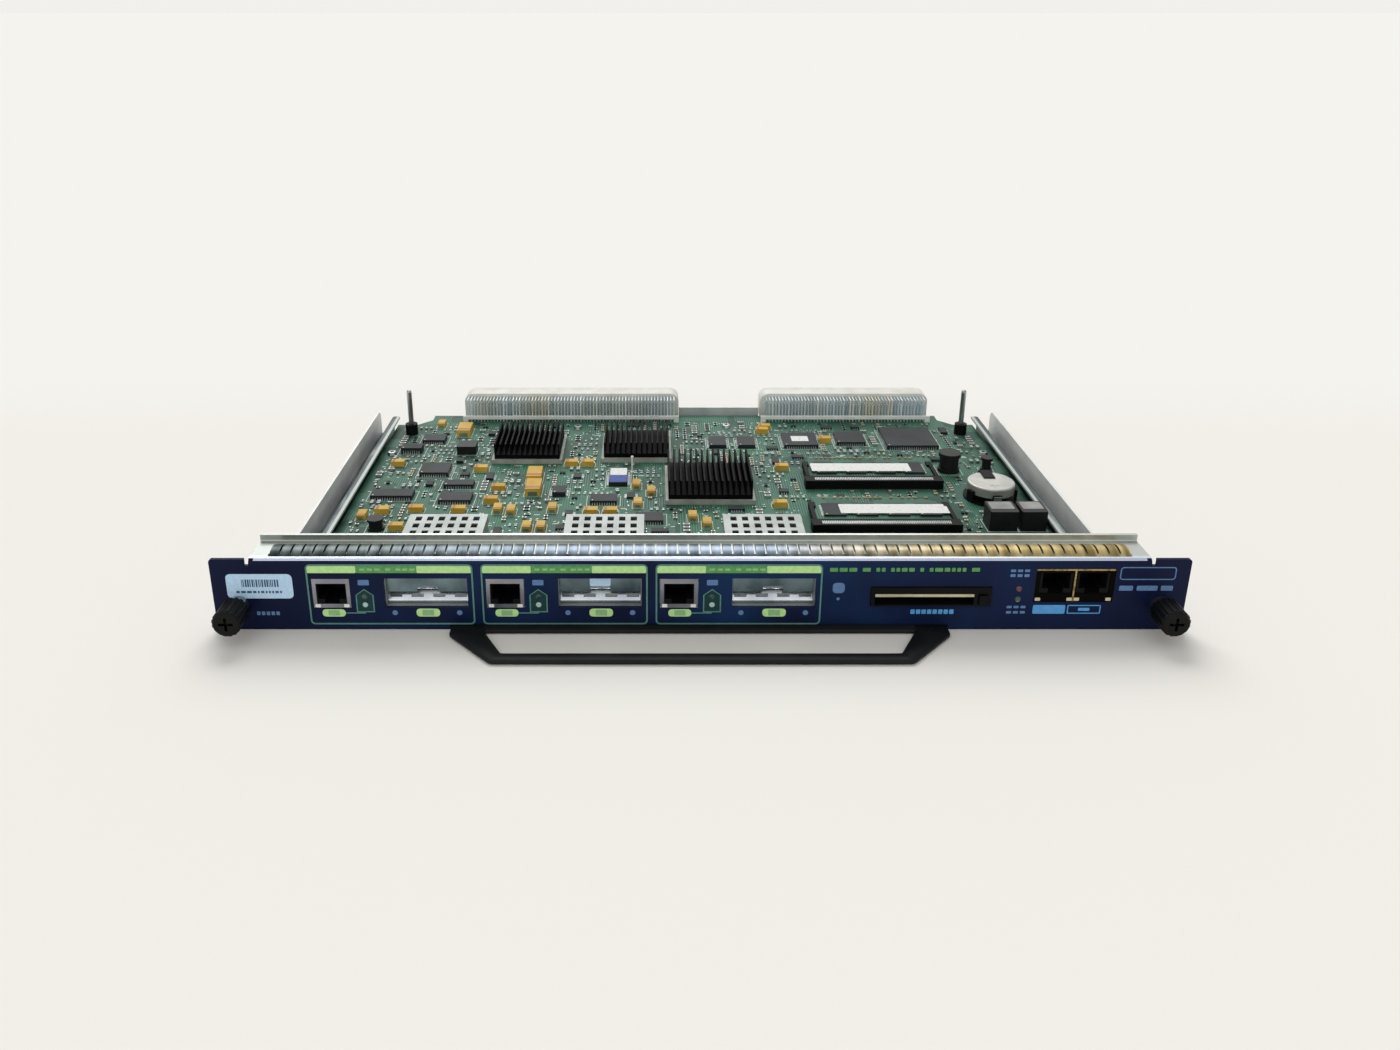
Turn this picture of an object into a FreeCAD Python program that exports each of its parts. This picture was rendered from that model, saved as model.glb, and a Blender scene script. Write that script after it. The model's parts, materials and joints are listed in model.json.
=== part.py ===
# Router processor module: a plug-in card with a wide front panel, in millimetres.
# Y runs back from the panel's front face and Z up from the base; save() puts the origin under the middle.
import FreeCAD
import Part
import cmath
import math
import os

Vec = FreeCAD.Vector

# Overall reach before and behind the panel's front face
HANDLE_REACH = 28.5
BACK_REACH = 250.0

# Clearances
GAP = 0.3           # between a moving piece, or a cut-out, and what passes it
SLIP = 0.06         # radial play of a pin or screw that turns in a hole

# Front panel: one sheet with plain ears, its top folded back and turned up again
PANEL_WIDTH = 420.0
PANEL_HEIGHT = 34.0
PANEL_THICK = 1.6
PANEL_CORNER = 1.5
EAR_WIDTH = 17.0
RELIEF = 2.0        # notch beside the fold
FOLD_ROOM = 3.0     # height of the folded strip's front below the panel's top
FOLD_DEPTH = 19.0
FOLD_LIP = 3.0
BEND = 0.8          # inside radius of every sheet bend

# Spring fingers on the folded top
FINGER_PITCH = 4.75
FINGER_GAP = 0.9
FINGER_MARGIN = 7.5  # least bare fold beside the first and last finger
FINGER_FRONT = 2.6
FINGER_SPAN = 12.0
FINGER_RISE = 1.9
FINGER_THICK = 0.3
FINGER_ROOT = 1.2   # width of the strip that joins the fingers

# Pull handle: a flat plate under the pan
HANDLE_THICK = 2.0
HANDLE_BASE = 216.0
HANDLE_TIP = 176.0
HANDLE_SHOULDER = 7.0
HANDLE_ARM = 16.0
HANDLE_BAR = 7.5
HANDLE_REAR_BAR = 0.8
HANDLE_TONGUE = 16.0
HANDLE_ROUND = 4.0
HANDLE_HOLE_ROUND = 1.2
HANDLE_EDGE = 0.6
HANDLE_SCREW_X = (-96.0, -32.0, 32.0, 96.0)
HANDLE_SCREW_Y = 10.0
SCREW_RADIUS = 1.5
SCREW_HEAD_RADIUS = 2.8
SCREW_BOSS = 1.6    # height of the tapped collar drawn up from the pan
SCREW_BOSS_WALL = 1.0

# Carrier pan and side rails
SHEET = 1.2
PAN_INSET = 21.0       # from the panel's end to the pan's side
PAN_REAR = 4.0         # from the board's rear edge to the back of the pan's lip
PAN_FRONT_FLANGE = 7.6
PAN_REAR_LIP = 15.0
PAN_FOLD_REACH = 6.0   # floor that is folded up with the front flange or the rear lip
RAIL_WIDTH = 9.0
RAIL_FRONT = 23.0
RAIL_OUTER_HEIGHT = 20.0
RAIL_INNER_HEIGHT = 16.0
RAIL_LIP = 4.5
RAIL_END_ROUND = 5.0
RIVET_COUNT = 4
RIVET_INSET = 8.0      # from a rail's end to its last rivet
RIVET_RADIUS = 1.5
RIVET_HEAD = 2.6
RIVET_HEAD_HEIGHT = 0.9

# Main board
STANDOFF_HEIGHT = 5.3
STANDOFF_RADIUS = 2.9
BOARD_THICK = 2.0
BOARD_SIDE_GAP = 2.5
BOARD_FRONT = 4.0
BOARD_NOTCH_WIDTH = 20.0
BOARD_NOTCH_DEPTH = 16.0
BOARD_SCREW_HEAD = 1.7
EDGE_STANDOFF_INSET = 6.5   # from the board's side edge
EDGE_STANDOFF_Y = (44.0, 176.0)
INNER_STANDOFFS = ((-80.0, 68.0), (-5.0, 68.0), (140.0, 62.0), (-66.0, 218.0), (25.0, 220.0))

# Port groups: a LAN jack, an indicator block and a transceiver cage, three times over
PORT_COUNT = 3
PORT_PITCH = 75.0
PORT_FIRST = -158.9
CAGE_STEP = 40.9
LED_STEP = 14.3

# LAN jacks
JACK_WIDTH = 16.2
JACK_HEIGHT = 14.0
JACK_DEPTH = 21.5
JACK_FRONT = 0.2
SHIELD_THICK = 0.35
PLUG_WIDTH = 12.0
PLUG_HEIGHT = 7.6
PLUG_DEPTH = 14.0
PLUG_TOP = 2.3      # from the jack's top down to the plug opening
LATCH_WIDTH = 6.5
LATCH_HEIGHT = 2.2
FACE_WINDOW = 13.0  # opening in the shield's face, which bares the insert round the plug opening

# Double console jack, raised on a base
CONSOLE_X = 161.2
CONSOLE_WIDTH = 33.6
CONSOLE_RAISE = 3.2
CONSOLE_HEIGHT = 15.5
CONSOLE_PLUG_TOP = 1.8
CONSOLE_PITCH = 15.8
CONSOLE_WINDOW = 14.2

# Transceiver cages
CAGE_WIDTH = 36.4
CAGE_BACK = 63.0
CAGE_HEIGHT = 14.6
CAGE_SHEET = 0.5
CAGE_RIM = 0.25     # cage wall hidden behind the edge of the panel's cut-out
LID_SKIRT = 4.0
VENT_WIDTH = 3.0
VENT_LENGTH = 4.4
VENT_COLUMNS = 6
VENT_ROWS = 7
VENT_PITCH_X = 5.5
VENT_PITCH_Y = 7.5
VENT_BACK = 5.0     # from the last row of vents to the lid's rear edge

# Flap of each cage, on stub pins under the lid
FLAP_THICK = 1.0
FLAP_HEIGHT = 7.0
FLAP_BARREL = 1.0
FLAP_PIN = 0.5
FLAP_PIN_SHORT = 0.1    # from a pin's end to the outside of the cage's wall
FLAP_AXIS_Y = 4.6
FLAP_AXIS_DROP = 1.5    # from the lid's underside to the pins
FLAP_CORNER = 1.0
FLAP_NOTCH_WIDTH = 9.0  # finger notch in the lower edge
FLAP_NOTCH_HEIGHT = 2.6

# Slotted contact sill under each flap: a foot on the cage's floor, a ramp over it and a turned-down end
SILL_FOOT = 6.0
SILL_RISE = 5.2
SILL_TAIL = 2.0
SILL_THICK = 0.4
SILL_SLOTS = 4
SILL_SLOT_PITCH = 9.4
SILL_SLOT_WIDTH = 5.4
SILL_SLOT_LOW = 2.4     # from the foot up to the slots
SILL_SLOT_HEIGHT = 1.1

# Connector at the back of each cage
CAGE_PLUG_WIDTH = 28.0
CAGE_PLUG_HEIGHT = 8.0
CAGE_PLUG_DEPTH = 8.0
CAGE_PLUG_SLOT = 1.6

# Memory card slot and its eject button
CARD_X = 99.8
CARD_WIDTH = 51.8
CARD_RAISE = 1.2
CARD_HEIGHT = 10.2
CARD_PROUD = 0.8
CARD_BACK = 46.0
CARD_OPEN_WIDTH = 42.8
CARD_OPEN_HEIGHT = 5.4
CARD_OPEN_DEPTH = 36.0
CARD_SIDE = 1.6         # wall at each end of the slot
CARD_OPEN_DROP = 2.8    # from the slot body's top to the card opening
BUTTON_WIDTH = 3.4
BUTTON_HEIGHT = 4.6
BUTTON_PROUD = 1.2
BUTTON_LENGTH = 28.0

# Indicators
LED_WIDTH = 5.0
LED_DEPTH = 6.0
LED_BLOCK_HEIGHT = 11.0
LED_FRONT = 3.2
LED_LENS = 1.3
LED_PROUD = 0.4
LED_HEIGHTS = (1.6, 5.4)
STATUS_LED_X = 137.5
STATUS_LED_HEIGHTS = (4.3, 9.3)

# Captive screws
CAPTIVE_INSET = 11.0    # from the panel's end to the screw
SCREW_Z = 12.5
KNOB_RADIUS = 6.2
KNOB_LENGTH = 12.4
KNOB_FLUTES = 16
KNOB_FLUTE_RADIUS = 0.7
KNOB_EDGE = 1.0
KNOB_REST = 5.2         # knob's rear face in front of the panel
KNOB_CROSS = 1.3
KNOB_CROSS_DEPTH = 2.2
FERRULE_RADIUS = 4.0
FERRULE_LENGTH = 5.6
FERRULE_NECK = 3.4
NECK_RADIUS = 1.6       # plain shank in the ferrule and the ring
STUD_RADIUS = 2.0       # threaded end behind the ring
STUD_LENGTH = 11.0      # bare screw behind the panel
STUD_POINT = 1.0
RING_RADIUS = 4.0
RING_THICK = 0.9
SCREW_TRAVEL = 4.6

# Heat sinks on their packages: name, middle x, middle y, side, height
HEAT_SINKS = (
    ("left", -91.5, 181.5, 37.0, 9.0),
    ("middle", -29.5, 183.5, 37.0, 9.0),
    ("right", 10.0, 130.0, 44.0, 10.5),
)
PACKAGE_HEIGHT = 2.4
PACKAGE_RIM = 1.5
FIN_THICK = 0.9
FIN_PITCH = 3.0
SINK_BASE = 2.5

# Memory modules: name, middle x, front edge of the socket
MEMORY = (("front", 95.5, 72.0), ("rear", 99.0, 126.0))
MODULE_WIDTH = 67.6
MODULE_DEPTH = 31.8
MODULE_THICK = 1.0
MODULE_LIFT = 2.8
MODULE_INSERT = 3.0
MODULE_PLAY = 0.1
MODULE_NOTCH = 0.9          # radius of the half-round notch in each side
MODULE_NOTCH_REACH = 20.5   # from the contact edge to the notches
KEY_X = -12.0               # gap in the contact edge, over a rib in the socket
KEY_WIDTH = 1.5
SOCKET_OVERHANG = 3.2
SOCKET_HALF = MODULE_WIDTH / 2 + SOCKET_OVERHANG
SOCKET_DEPTH = 7.0
SOCKET_HEIGHT = 5.0
SOCKET_ARM = 20.0
SOCKET_ARM_WIDTH = 2.0
SOCKET_TAB = 1.2
MEMORY_CHIP = (11.0, 14.0, 1.1)
MEMORY_CHIP_X = (-24.0, -8.0, 8.0, 24.0)
MEMORY_CHIP_REACH = 15.0    # from the contact edge to the middle of the chips

# Soldered parts: middle x, middle y, width, depth, height
LOGIC_CHIPS = (
    (132.0, 198.0, 30.0, 30.0, 2.6), (67.0, 195.0, 20.0, 20.0, 2.2), (97.0, 198.0, 17.0, 17.0, 2.2),
    (18.0, 192.0, 10.0, 14.0, 2.2), (35.0, 192.0, 10.0, 14.0, 2.2), (-39.0, 140.0, 10.0, 20.0, 2.4),
    (-150.0, 197.0, 13.0, 10.0, 2.4), (-141.0, 150.0, 16.0, 14.0, 2.6), (-125.0, 131.0, 16.0, 7.0, 2.2),
    (-158.0, 117.0, 22.0, 9.0, 2.4), (-124.0, 113.0, 17.0, 11.0, 2.2), (-46.0, 111.0, 14.0, 9.0, 2.2),
    (-22.0, 88.0, 14.0, 10.0, 2.2), (-70.0, 121.0, 7.0, 9.0, 2.6), (-160.0, 180.0, 12.0, 7.0, 3.6),
)
CAPACITOR = (7.3, 4.3, 2.9)
CAPACITORS_ACROSS = (
    (-164.0, 160.0), (-159.0, 97.0), (-142.0, 99.0), (-120.0, 98.0), (-148.0, 78.0), (-116.0, 152.0),
    (-103.0, 126.0), (-66.0, 160.0), (-57.0, 160.0), (-52.0, 96.0), (-42.0, 96.0), (-105.0, 110.0),
    (MEMORY[1][1] - SOCKET_HALF - 10.0, 154.0), (82.0, 196.0), (48.0, 217.0), (46.0, 211.0), (46.0, 105.0),
)
CAPACITORS_ALONG = (
    (-150.0, 222.0), (-100.0, 99.0), (-93.0, 97.0), (-83.0, 78.0), (-76.0, 78.0), (-72.0, 100.0),
    (-28.0, 106.0), (-29.0, 130.0), (-21.0, 121.0), (0.0, 90.0), (7.0, 82.0), (-168.0, 91.0),
)
LARGE_CAPACITOR = (8.0, 14.0, 4.4)
LARGE_CAPACITORS = ((-134.0, 210.0), (-84.0, 124.0), (-85.0, 141.0))
DRUM_COILS = (
    (MEMORY[1][1] + SOCKET_HALF + 9.0, 152.0, 6.0, 11.0), (166.0, 152.0, 3.2, 8.0), (-158.0, 78.0, 4.2, 6.0),
)
DRUM_WAIST = 0.8
BLOCK_COILS = (
    (153.5, 81.5, 14.0, 13.0, 10.5), (168.5, 81.5, 12.8, 13.0, 10.5), (-128.0, 180.0, 11.0, 10.0, 5.0),
)
COIL_ROUND = 1.0

# Coin cell and holder
CELL_X = 158.0
CELL_Y = 116.0
CELL_RADIUS = 12.2
CELL_THICK = 5.0
CELL_LIFT = 4.4
HOLDER_WALL = 1.4
HOLDER_RIM = 2.0
HOLDER_FLANGE = 1.2
HOLDER_PEDESTAL = 9.0
PRONG_WIDTH = 4.4
PRONG_ANGLES = (90.0, 205.0, 270.0, 345.0)
CLIP_WIDTH = 6.0
CLIP_THICK = 0.6
CLIP_REACH = 11.0

# Backplane connectors: name, left end, right end
CONNECTORS = (("left", -138.0, -4.0), ("right", 47.0, 152.0))
CONNECTOR_DEPTH = 12.0
CONNECTOR_OVERHANG = 10.0   # behind the board's rear edge
CONNECTOR_HEIGHT = 15.5
CONNECTOR_ROUND = 3.0
CONNECTOR_WALL = 2.0
CONNECTOR_RECESS = 5.5
PIN_PITCH = 2.0
PIN_SIZE = 0.6
PIN_END = 3.0           # from the connector's end to the first pin
PIN_ROWS = ((13.6, 8.0), (9.4, 5.0))    # height above the board, reach in front of the connector
COMB_DEPTH = 1.6
COMB_LOW = 2.0
COMB_HIGH = 4.0
COMB_FOOT = 3.0

# Guide posts
POST_INSET = 11.5           # from the board's side edge
POST_REAR_INSET = 15.0      # from the notched corner's front edge
POST_RADIUS = 1.5
POST_FOOT_RADIUS = 1.2      # stud under the post, through the base and the board
POST_TOP = 38.5
POST_DOME = 0.9             # share of the post's radius that its top is rounded by
POST_BASE_RADIUS = 3.6
POST_BASE_HEIGHT = 6.5

# Heights and places that follow from the sizes above
PAN_WIDTH = PANEL_WIDTH - 2 * PAN_INSET
BOARD_WIDTH = PAN_WIDTH - 2 * (RAIL_WIDTH + BOARD_SIDE_GAP)
CONNECTOR_FRONT = BACK_REACH - CONNECTOR_DEPTH
BOARD_BACK = BACK_REACH - CONNECTOR_OVERHANG
PAN_BACK = BOARD_BACK + PAN_REAR
RAIL_BACK = BOARD_BACK - BOARD_NOTCH_DEPTH
FINGER_COUNT = int((PANEL_WIDTH - 2 * EAR_WIDTH - 2 * FINGER_MARGIN) / FINGER_PITCH)
SCREW_X = PANEL_WIDTH / 2 - CAPTIVE_INSET
POST_X = BOARD_WIDTH / 2 - POST_INSET
POST_Y = RAIL_BACK - POST_REAR_INSET
RIVET_STEP = (RAIL_BACK - RAIL_FRONT - 2 * RIVET_INSET) / (RIVET_COUNT - 1)
RIVET_YS = [RAIL_FRONT + RIVET_INSET + RIVET_STEP * rivet for rivet in range(RIVET_COUNT)]
EDGE_STANDOFF_X = BOARD_WIDTH / 2 - EDGE_STANDOFF_INSET
EDGE_STANDOFFS = [(side * EDGE_STANDOFF_X, y) for side in (-1, 1) for y in EDGE_STANDOFF_Y]
STANDOFF_PLACES = EDGE_STANDOFFS + list(INNER_STANDOFFS)
FLOOR_TOP = HANDLE_THICK + SHEET
BOARD_Z = FLOOR_TOP + STANDOFF_HEIGHT
BOARD_TOP = BOARD_Z + BOARD_THICK
CAGE_TOP = BOARD_TOP + CAGE_HEIGHT
FLAP_AXIS_Z = CAGE_TOP - FLAP_AXIS_DROP
CAGE_INSIDE = CAGE_WIDTH / 2 - CAGE_SHEET
JACK_XS = [PORT_FIRST + PORT_PITCH * port for port in range(PORT_COUNT)]
CAGE_XS = [x + CAGE_STEP for x in JACK_XS]
LED_COLUMNS = [(x + LED_STEP, LED_HEIGHTS) for x in JACK_XS] + [(STATUS_LED_X, STATUS_LED_HEIGHTS)]
JACK_TOP = BOARD_TOP + JACK_HEIGHT
CONSOLE_Z = BOARD_TOP + CONSOLE_RAISE
CONSOLE_TOP = CONSOLE_Z + CONSOLE_HEIGHT
CONSOLE_XS = (CONSOLE_X - CONSOLE_PITCH / 2, CONSOLE_X + CONSOLE_PITCH / 2)
CARD_LEFT = CARD_X - CARD_WIDTH / 2
CARD_TOP = BOARD_TOP + CARD_HEIGHT
CARD_OPEN_TOP = CARD_TOP - CARD_OPEN_DROP
CARD_OPEN_LOW = CARD_OPEN_TOP - CARD_OPEN_HEIGHT
BUTTON_X = CARD_LEFT + CARD_WIDTH - CARD_SIDE - GAP - BUTTON_WIDTH / 2
BUTTON_Z = CARD_OPEN_LOW + GAP + BUTTON_HEIGHT / 2
MODULE_Z = BOARD_TOP + MODULE_LIFT
RAIL_OUTSIDE = PAN_WIDTH / 2
RAIL_MIDDLE = RAIL_OUTSIDE - RAIL_WIDTH / 2


def box(x0, x1, y0, y1, z0, z1):
    return Part.makeBox(x1 - x0, y1 - y0, z1 - z0, Vec(x0, y0, z0))


def block(x, y, z, width, depth, height):
    """A block standing on z with its middle at x, y."""
    return box(x - width / 2, x + width / 2, y - depth / 2, y + depth / 2, z, z + height)


def upright(x, y, z, radius, height):
    return Part.makeCylinder(radius, height, Vec(x, y, z))


def along_y(x, y, z, radius, length):
    return Part.makeCylinder(radius, length, Vec(x, y, z), Vec(0, 1, 0))


def along_x(x, y, z, radius, length):
    return Part.makeCylinder(radius, length, Vec(x, y, z), Vec(1, 0, 0))


def cone_z(x, y, z, low_radius, high_radius, height):
    return Part.makeCone(low_radius, high_radius, height, Vec(x, y, z))


def plate(points, thick, z):
    """A flat plate on z with the outline given by x, y points."""
    corners = [Vec(x, y, z) for x, y in points]
    return Part.Face(Part.makePolygon(corners + corners[:1])).extrude(Vec(0, 0, thick))


def slice_x(points, x0, x1):
    """A y, z outline carried from x0 to x1."""
    corners = [Vec(x0, y, z) for y, z in points]
    return Part.Face(Part.makePolygon(corners + corners[:1])).extrude(Vec(x1 - x0, 0, 0))


def round_edges(solid, direction, radius):
    """Round every straight edge that runs along the direction."""
    edges = []
    for edge in solid.Edges:
        if isinstance(edge.Curve, Part.Line) and abs(edge.Curve.Direction.dot(direction)) > 0.999:
            edges.append(edge)
    return solid.makeFillet(radius, edges)


def unit(step):
    return step / abs(step)


def sheet_section(path, thick, place):
    """The face of a bent sheet: path is its middle line, place turns a complex point into a Vec."""
    radius = BEND + thick / 2
    edges = []
    ends = []
    for offset in (thick / 2, -thick / 2):
        here = path[0] + offset * 1j * unit(path[1] - path[0])
        ends.append(here)
        for before, corner, after in zip(path, path[1:], path[2:]):
            way_in = unit(corner - before)
            way_out = unit(after - corner)
            turn = cmath.phase(way_out / way_in)
            side = math.copysign(1, turn)
            centre = corner + radius * way_in * (side * 1j - math.tan(abs(turn) / 2))
            reach = radius - side * offset
            start = centre - side * 1j * way_in * reach
            middle = centre + unit(corner - centre) * reach
            end = centre - side * 1j * way_out * reach
            edges.append(Part.makeLine(place(here), place(start)))
            edges.append(Part.Arc(place(start), place(middle), place(end)).toShape())
            here = end
        last = path[-1] + offset * 1j * unit(path[-1] - path[-2])
        edges.append(Part.makeLine(place(here), place(last)))
        ends.append(last)
    edges.append(Part.makeLine(place(ends[0]), place(ends[2])))
    edges.append(Part.makeLine(place(ends[1]), place(ends[3])))
    return Part.Face(Part.Wire(Part.__sortEdges__(edges)))


def folded_across(path, thick, x0, x1):
    """A sheet bent in the y, z plane and carried along x."""
    points = [complex(y, z) for y, z in path]
    face = sheet_section(points, thick, lambda point: Vec(x0, point.real, point.imag))
    return face.extrude(Vec(x1 - x0, 0, 0))


def folded_along(path, thick, y0, y1):
    """A sheet bent in the x, z plane and carried along y."""
    points = [complex(x, z) for x, z in path]
    face = sheet_section(points, thick, lambda point: Vec(point.real, y0, point.imag))
    return face.extrude(Vec(0, y1 - y0, 0))


def mirrored(solid):
    return solid.mirror(Vec(0, 0, 0), Vec(1, 0, 0))


def save(name, *solids):
    """Write one node, with the origin moved under the middle of the whole module."""
    group = Part.makeCompound([solid.copy() for solid in solids])
    group.translate(Vec(0, (HANDLE_REACH - BACK_REACH) / 2, 0))
    group.exportStep("parts/" + name + ".step")


def front_panel():
    half = PANEL_WIDTH / 2
    fold_half = half - EAR_WIDTH
    middle = PANEL_THICK / 2
    low = PANEL_HEIGHT - FOLD_ROOM
    sheet = round_edges(box(-half, half, 0, PANEL_THICK, 0, PANEL_HEIGHT), Vec(0, 1, 0), PANEL_CORNER)
    sheet = sheet.cut(box(-fold_half - RELIEF, fold_half + RELIEF, 0, PANEL_THICK, low, PANEL_HEIGHT))
    turned_up = FOLD_DEPTH - middle
    path = (
        (middle, low), (middle, PANEL_HEIGHT - middle),
        (turned_up, PANEL_HEIGHT - middle), (turned_up, PANEL_HEIGHT + FOLD_LIP),
    )
    sheet = sheet.fuse(folded_across(path, PANEL_THICK, -fold_half, fold_half)).removeSplitter()
    return sheet.cut(panel_openings())


def panel_opening(x, width, z0, z1):
    return box(x - width / 2, x + width / 2, 0, PANEL_THICK, z0, z1)


def panel_openings():
    cuts = []
    for x in JACK_XS:
        cuts.append(panel_opening(x, JACK_WIDTH + 2 * GAP, BOARD_TOP - GAP, JACK_TOP + GAP))
    for x in CAGE_XS:
        width = 2 * (CAGE_INSIDE + CAGE_RIM)
        cuts.append(panel_opening(x, width, BOARD_TOP + CAGE_RIM, CAGE_TOP - CAGE_RIM))
    for x, heights in LED_COLUMNS:
        for height in heights:
            cuts.append(along_y(x, 0, BOARD_TOP + height, LED_LENS + SLIP, PANEL_THICK))
    cuts.append(panel_opening(CARD_X, CARD_WIDTH + 2 * GAP, BOARD_TOP + CARD_RAISE - GAP, CARD_TOP + GAP))
    cuts.append(panel_opening(CONSOLE_X, CONSOLE_WIDTH + 2 * GAP, CONSOLE_Z - GAP, CONSOLE_TOP + GAP))
    for x in (-SCREW_X, SCREW_X):
        cuts.append(along_y(x, 0, SCREW_Z, FERRULE_NECK + SLIP, PANEL_THICK))
    cuts.append(panel_opening(0, HANDLE_BASE + 2 * GAP, 0, HANDLE_THICK + GAP))
    return cuts


def finger_strip():
    length = FINGER_COUNT * FINGER_PITCH
    low = PANEL_HEIGHT
    back = FINGER_FRONT + FINGER_SPAN
    crown = FINGER_FRONT + FINGER_SPAN / 2

    def arch(inset):
        ends = (Vec(0, FINGER_FRONT + inset, low), Vec(0, back - inset, low))
        top = Vec(0, crown, low + FINGER_RISE - inset)
        return ends, Part.Arc(ends[0], top, ends[1]).toShape()

    outer_ends, outer = arch(0)
    inner_ends, inner = arch(FINGER_THICK)
    feet = [Part.makeLine(a, b) for a, b in zip(outer_ends, inner_ends)]
    section = Part.Face(Part.Wire(Part.__sortEdges__([outer, feet[0], inner, feet[1]])))
    front = box(0, length, FINGER_FRONT, FINGER_FRONT + FINGER_ROOT, low, low + FINGER_RISE)
    root = section.extrude(Vec(length, 0, 0)).common(front)
    finger = section.extrude(Vec(FINGER_PITCH - FINGER_GAP, 0, 0)).cut(front)
    fingers = []
    for place in range(FINGER_COUNT):
        copy = finger.copy()
        copy.translate(Vec(place * FINGER_PITCH + FINGER_GAP / 2, 0, 0))
        fingers.append(copy)
    strip = root.fuse(fingers)
    strip.translate(Vec(-length / 2, 0, 0))
    return strip


def pull_handle():
    base = HANDLE_BASE / 2
    tip = HANDLE_TIP / 2
    outline = (
        (-base, HANDLE_TONGUE), (-base, -HANDLE_SHOULDER), (-tip, -HANDLE_REACH),
        (tip, -HANDLE_REACH), (base, -HANDLE_SHOULDER), (base, HANDLE_TONGUE),
    )
    lean = (base - tip) / (HANDLE_REACH - HANDLE_SHOULDER)
    front = HANDLE_REACH - HANDLE_BAR
    narrow = base - lean * (front - HANDLE_SHOULDER) - HANDLE_ARM + HANDLE_SHOULDER
    wide = base - HANDLE_ARM
    hole = (
        (-wide, -HANDLE_REAR_BAR), (-narrow, -front), (narrow, -front), (wide, -HANDLE_REAR_BAR),
    )
    body = round_edges(plate(outline, HANDLE_THICK, 0), Vec(0, 0, 1), HANDLE_ROUND)
    gap = round_edges(plate(hole, HANDLE_THICK, 0), Vec(0, 0, 1), HANDLE_HOLE_ROUND)
    body = body.cut(gap)
    front_edges = []
    for edge in body.Edges:
        if edge.BoundBox.YMax < -HANDLE_REAR_BAR / 2 and edge.BoundBox.ZLength < HANDLE_EDGE:
            front_edges.append(edge)
    body = body.makeChamfer(HANDLE_EDGE, front_edges)
    for x in HANDLE_SCREW_X:
        body = body.cut([screw_hole(x, HANDLE_SCREW_Y), screw_cone(x, HANDLE_SCREW_Y, SLIP)])
    return body


def screw_hole(x, y):
    return upright(x, y, 0, SCREW_RADIUS + SLIP, FLOOR_TOP + SCREW_BOSS)


def screw_cone(x, y, play):
    rise = SCREW_HEAD_RADIUS - SCREW_RADIUS
    return cone_z(x, y, 0, SCREW_HEAD_RADIUS + play, SCREW_RADIUS + play, rise)


def handle_screws():
    screws = []
    for x in HANDLE_SCREW_X:
        shank = upright(x, HANDLE_SCREW_Y, 0, SCREW_RADIUS, FLOOR_TOP + SCREW_BOSS)
        screws.append(shank.fuse(screw_cone(x, HANDLE_SCREW_Y, 0)))
    return screws


def carrier_pan():
    half = PAN_WIDTH / 2 - SHEET / 2
    middle = HANDLE_THICK + SHEET / 2
    front = PANEL_THICK
    pan = folded_along(((-half, 0), (-half, middle), (half, middle), (half, 0)), SHEET, front, PAN_BACK)
    inner = half - SHEET - BEND
    rear_half = BOARD_WIDTH / 2 - BOARD_NOTCH_WIDTH
    front_wall = front + SHEET / 2
    front_path = ((front_wall, PAN_FRONT_FLANGE), (front_wall, middle), (front + PAN_FOLD_REACH, middle))
    rear_wall = PAN_BACK - SHEET / 2
    rear_path = ((rear_wall, PAN_REAR_LIP), (rear_wall, middle), (PAN_BACK - PAN_FOLD_REACH, middle))
    corner = BEND + SHEET
    notch = RAIL_BACK + SHEET
    pan = pan.cut([
        box(-inner, inner, front, front + corner, 0, FLOOR_TOP),
        box(-PAN_WIDTH / 2, PAN_WIDTH / 2, PAN_BACK - corner, PAN_BACK, 0, FLOOR_TOP),
        box(-PAN_WIDTH / 2, -rear_half, notch, PAN_BACK, 0, FLOOR_TOP),
        box(rear_half, PAN_WIDTH / 2, notch, PAN_BACK, 0, FLOOR_TOP),
    ])
    pan = pan.fuse([
        folded_across(front_path, SHEET, -inner, inner),
        folded_across(rear_path, SHEET, -rear_half, rear_half),
    ])
    lip_left = CONNECTORS[0][2] + GAP
    lip_right = CONNECTORS[1][1] - GAP
    low = BOARD_Z - GAP
    cuts = [
        box(-rear_half, lip_left, PAN_BACK - corner, PAN_BACK, low, PAN_REAR_LIP),
        box(lip_right, rear_half, PAN_BACK - corner, PAN_BACK, low, PAN_REAR_LIP),
    ]
    for x in HANDLE_SCREW_X:
        collar = upright(x, HANDLE_SCREW_Y, HANDLE_THICK, SCREW_RADIUS + SCREW_BOSS_WALL, SHEET + SCREW_BOSS)
        pan = pan.fuse(collar)
        cuts.append(screw_hole(x, HANDLE_SCREW_Y))
    for x, y in rivet_places():
        cuts.append(upright(x, y, HANDLE_THICK, RIVET_RADIUS + SLIP, SHEET))
    return pan.removeSplitter().cut(cuts)


def rivet_places():
    return [(side * RAIL_MIDDLE, y) for side in (-1, 1) for y in RIVET_YS]


def right_rail():
    inner = RAIL_OUTSIDE - RAIL_WIDTH + SHEET / 2
    outer = RAIL_OUTSIDE - SHEET / 2
    floor = FLOOR_TOP + SHEET / 2
    path = (
        (inner - RAIL_LIP, RAIL_INNER_HEIGHT - SHEET / 2), (inner, RAIL_INNER_HEIGHT - SHEET / 2),
        (inner, floor), (outer, floor), (outer, RAIL_OUTER_HEIGHT),
    )
    rail = folded_along(path, SHEET, RAIL_FRONT, RAIL_BACK)
    ends = []
    for edge in rail.Edges:
        if edge.BoundBox.ZMin > RAIL_OUTER_HEIGHT - SHEET and edge.BoundBox.YLength < SHEET:
            ends.append(edge)
    rail = rail.makeFillet(RAIL_END_ROUND, ends)
    return rail.cut([upright(RAIL_MIDDLE, y, FLOOR_TOP, RIVET_RADIUS + SLIP, SHEET) for y in RIVET_YS])


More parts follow.
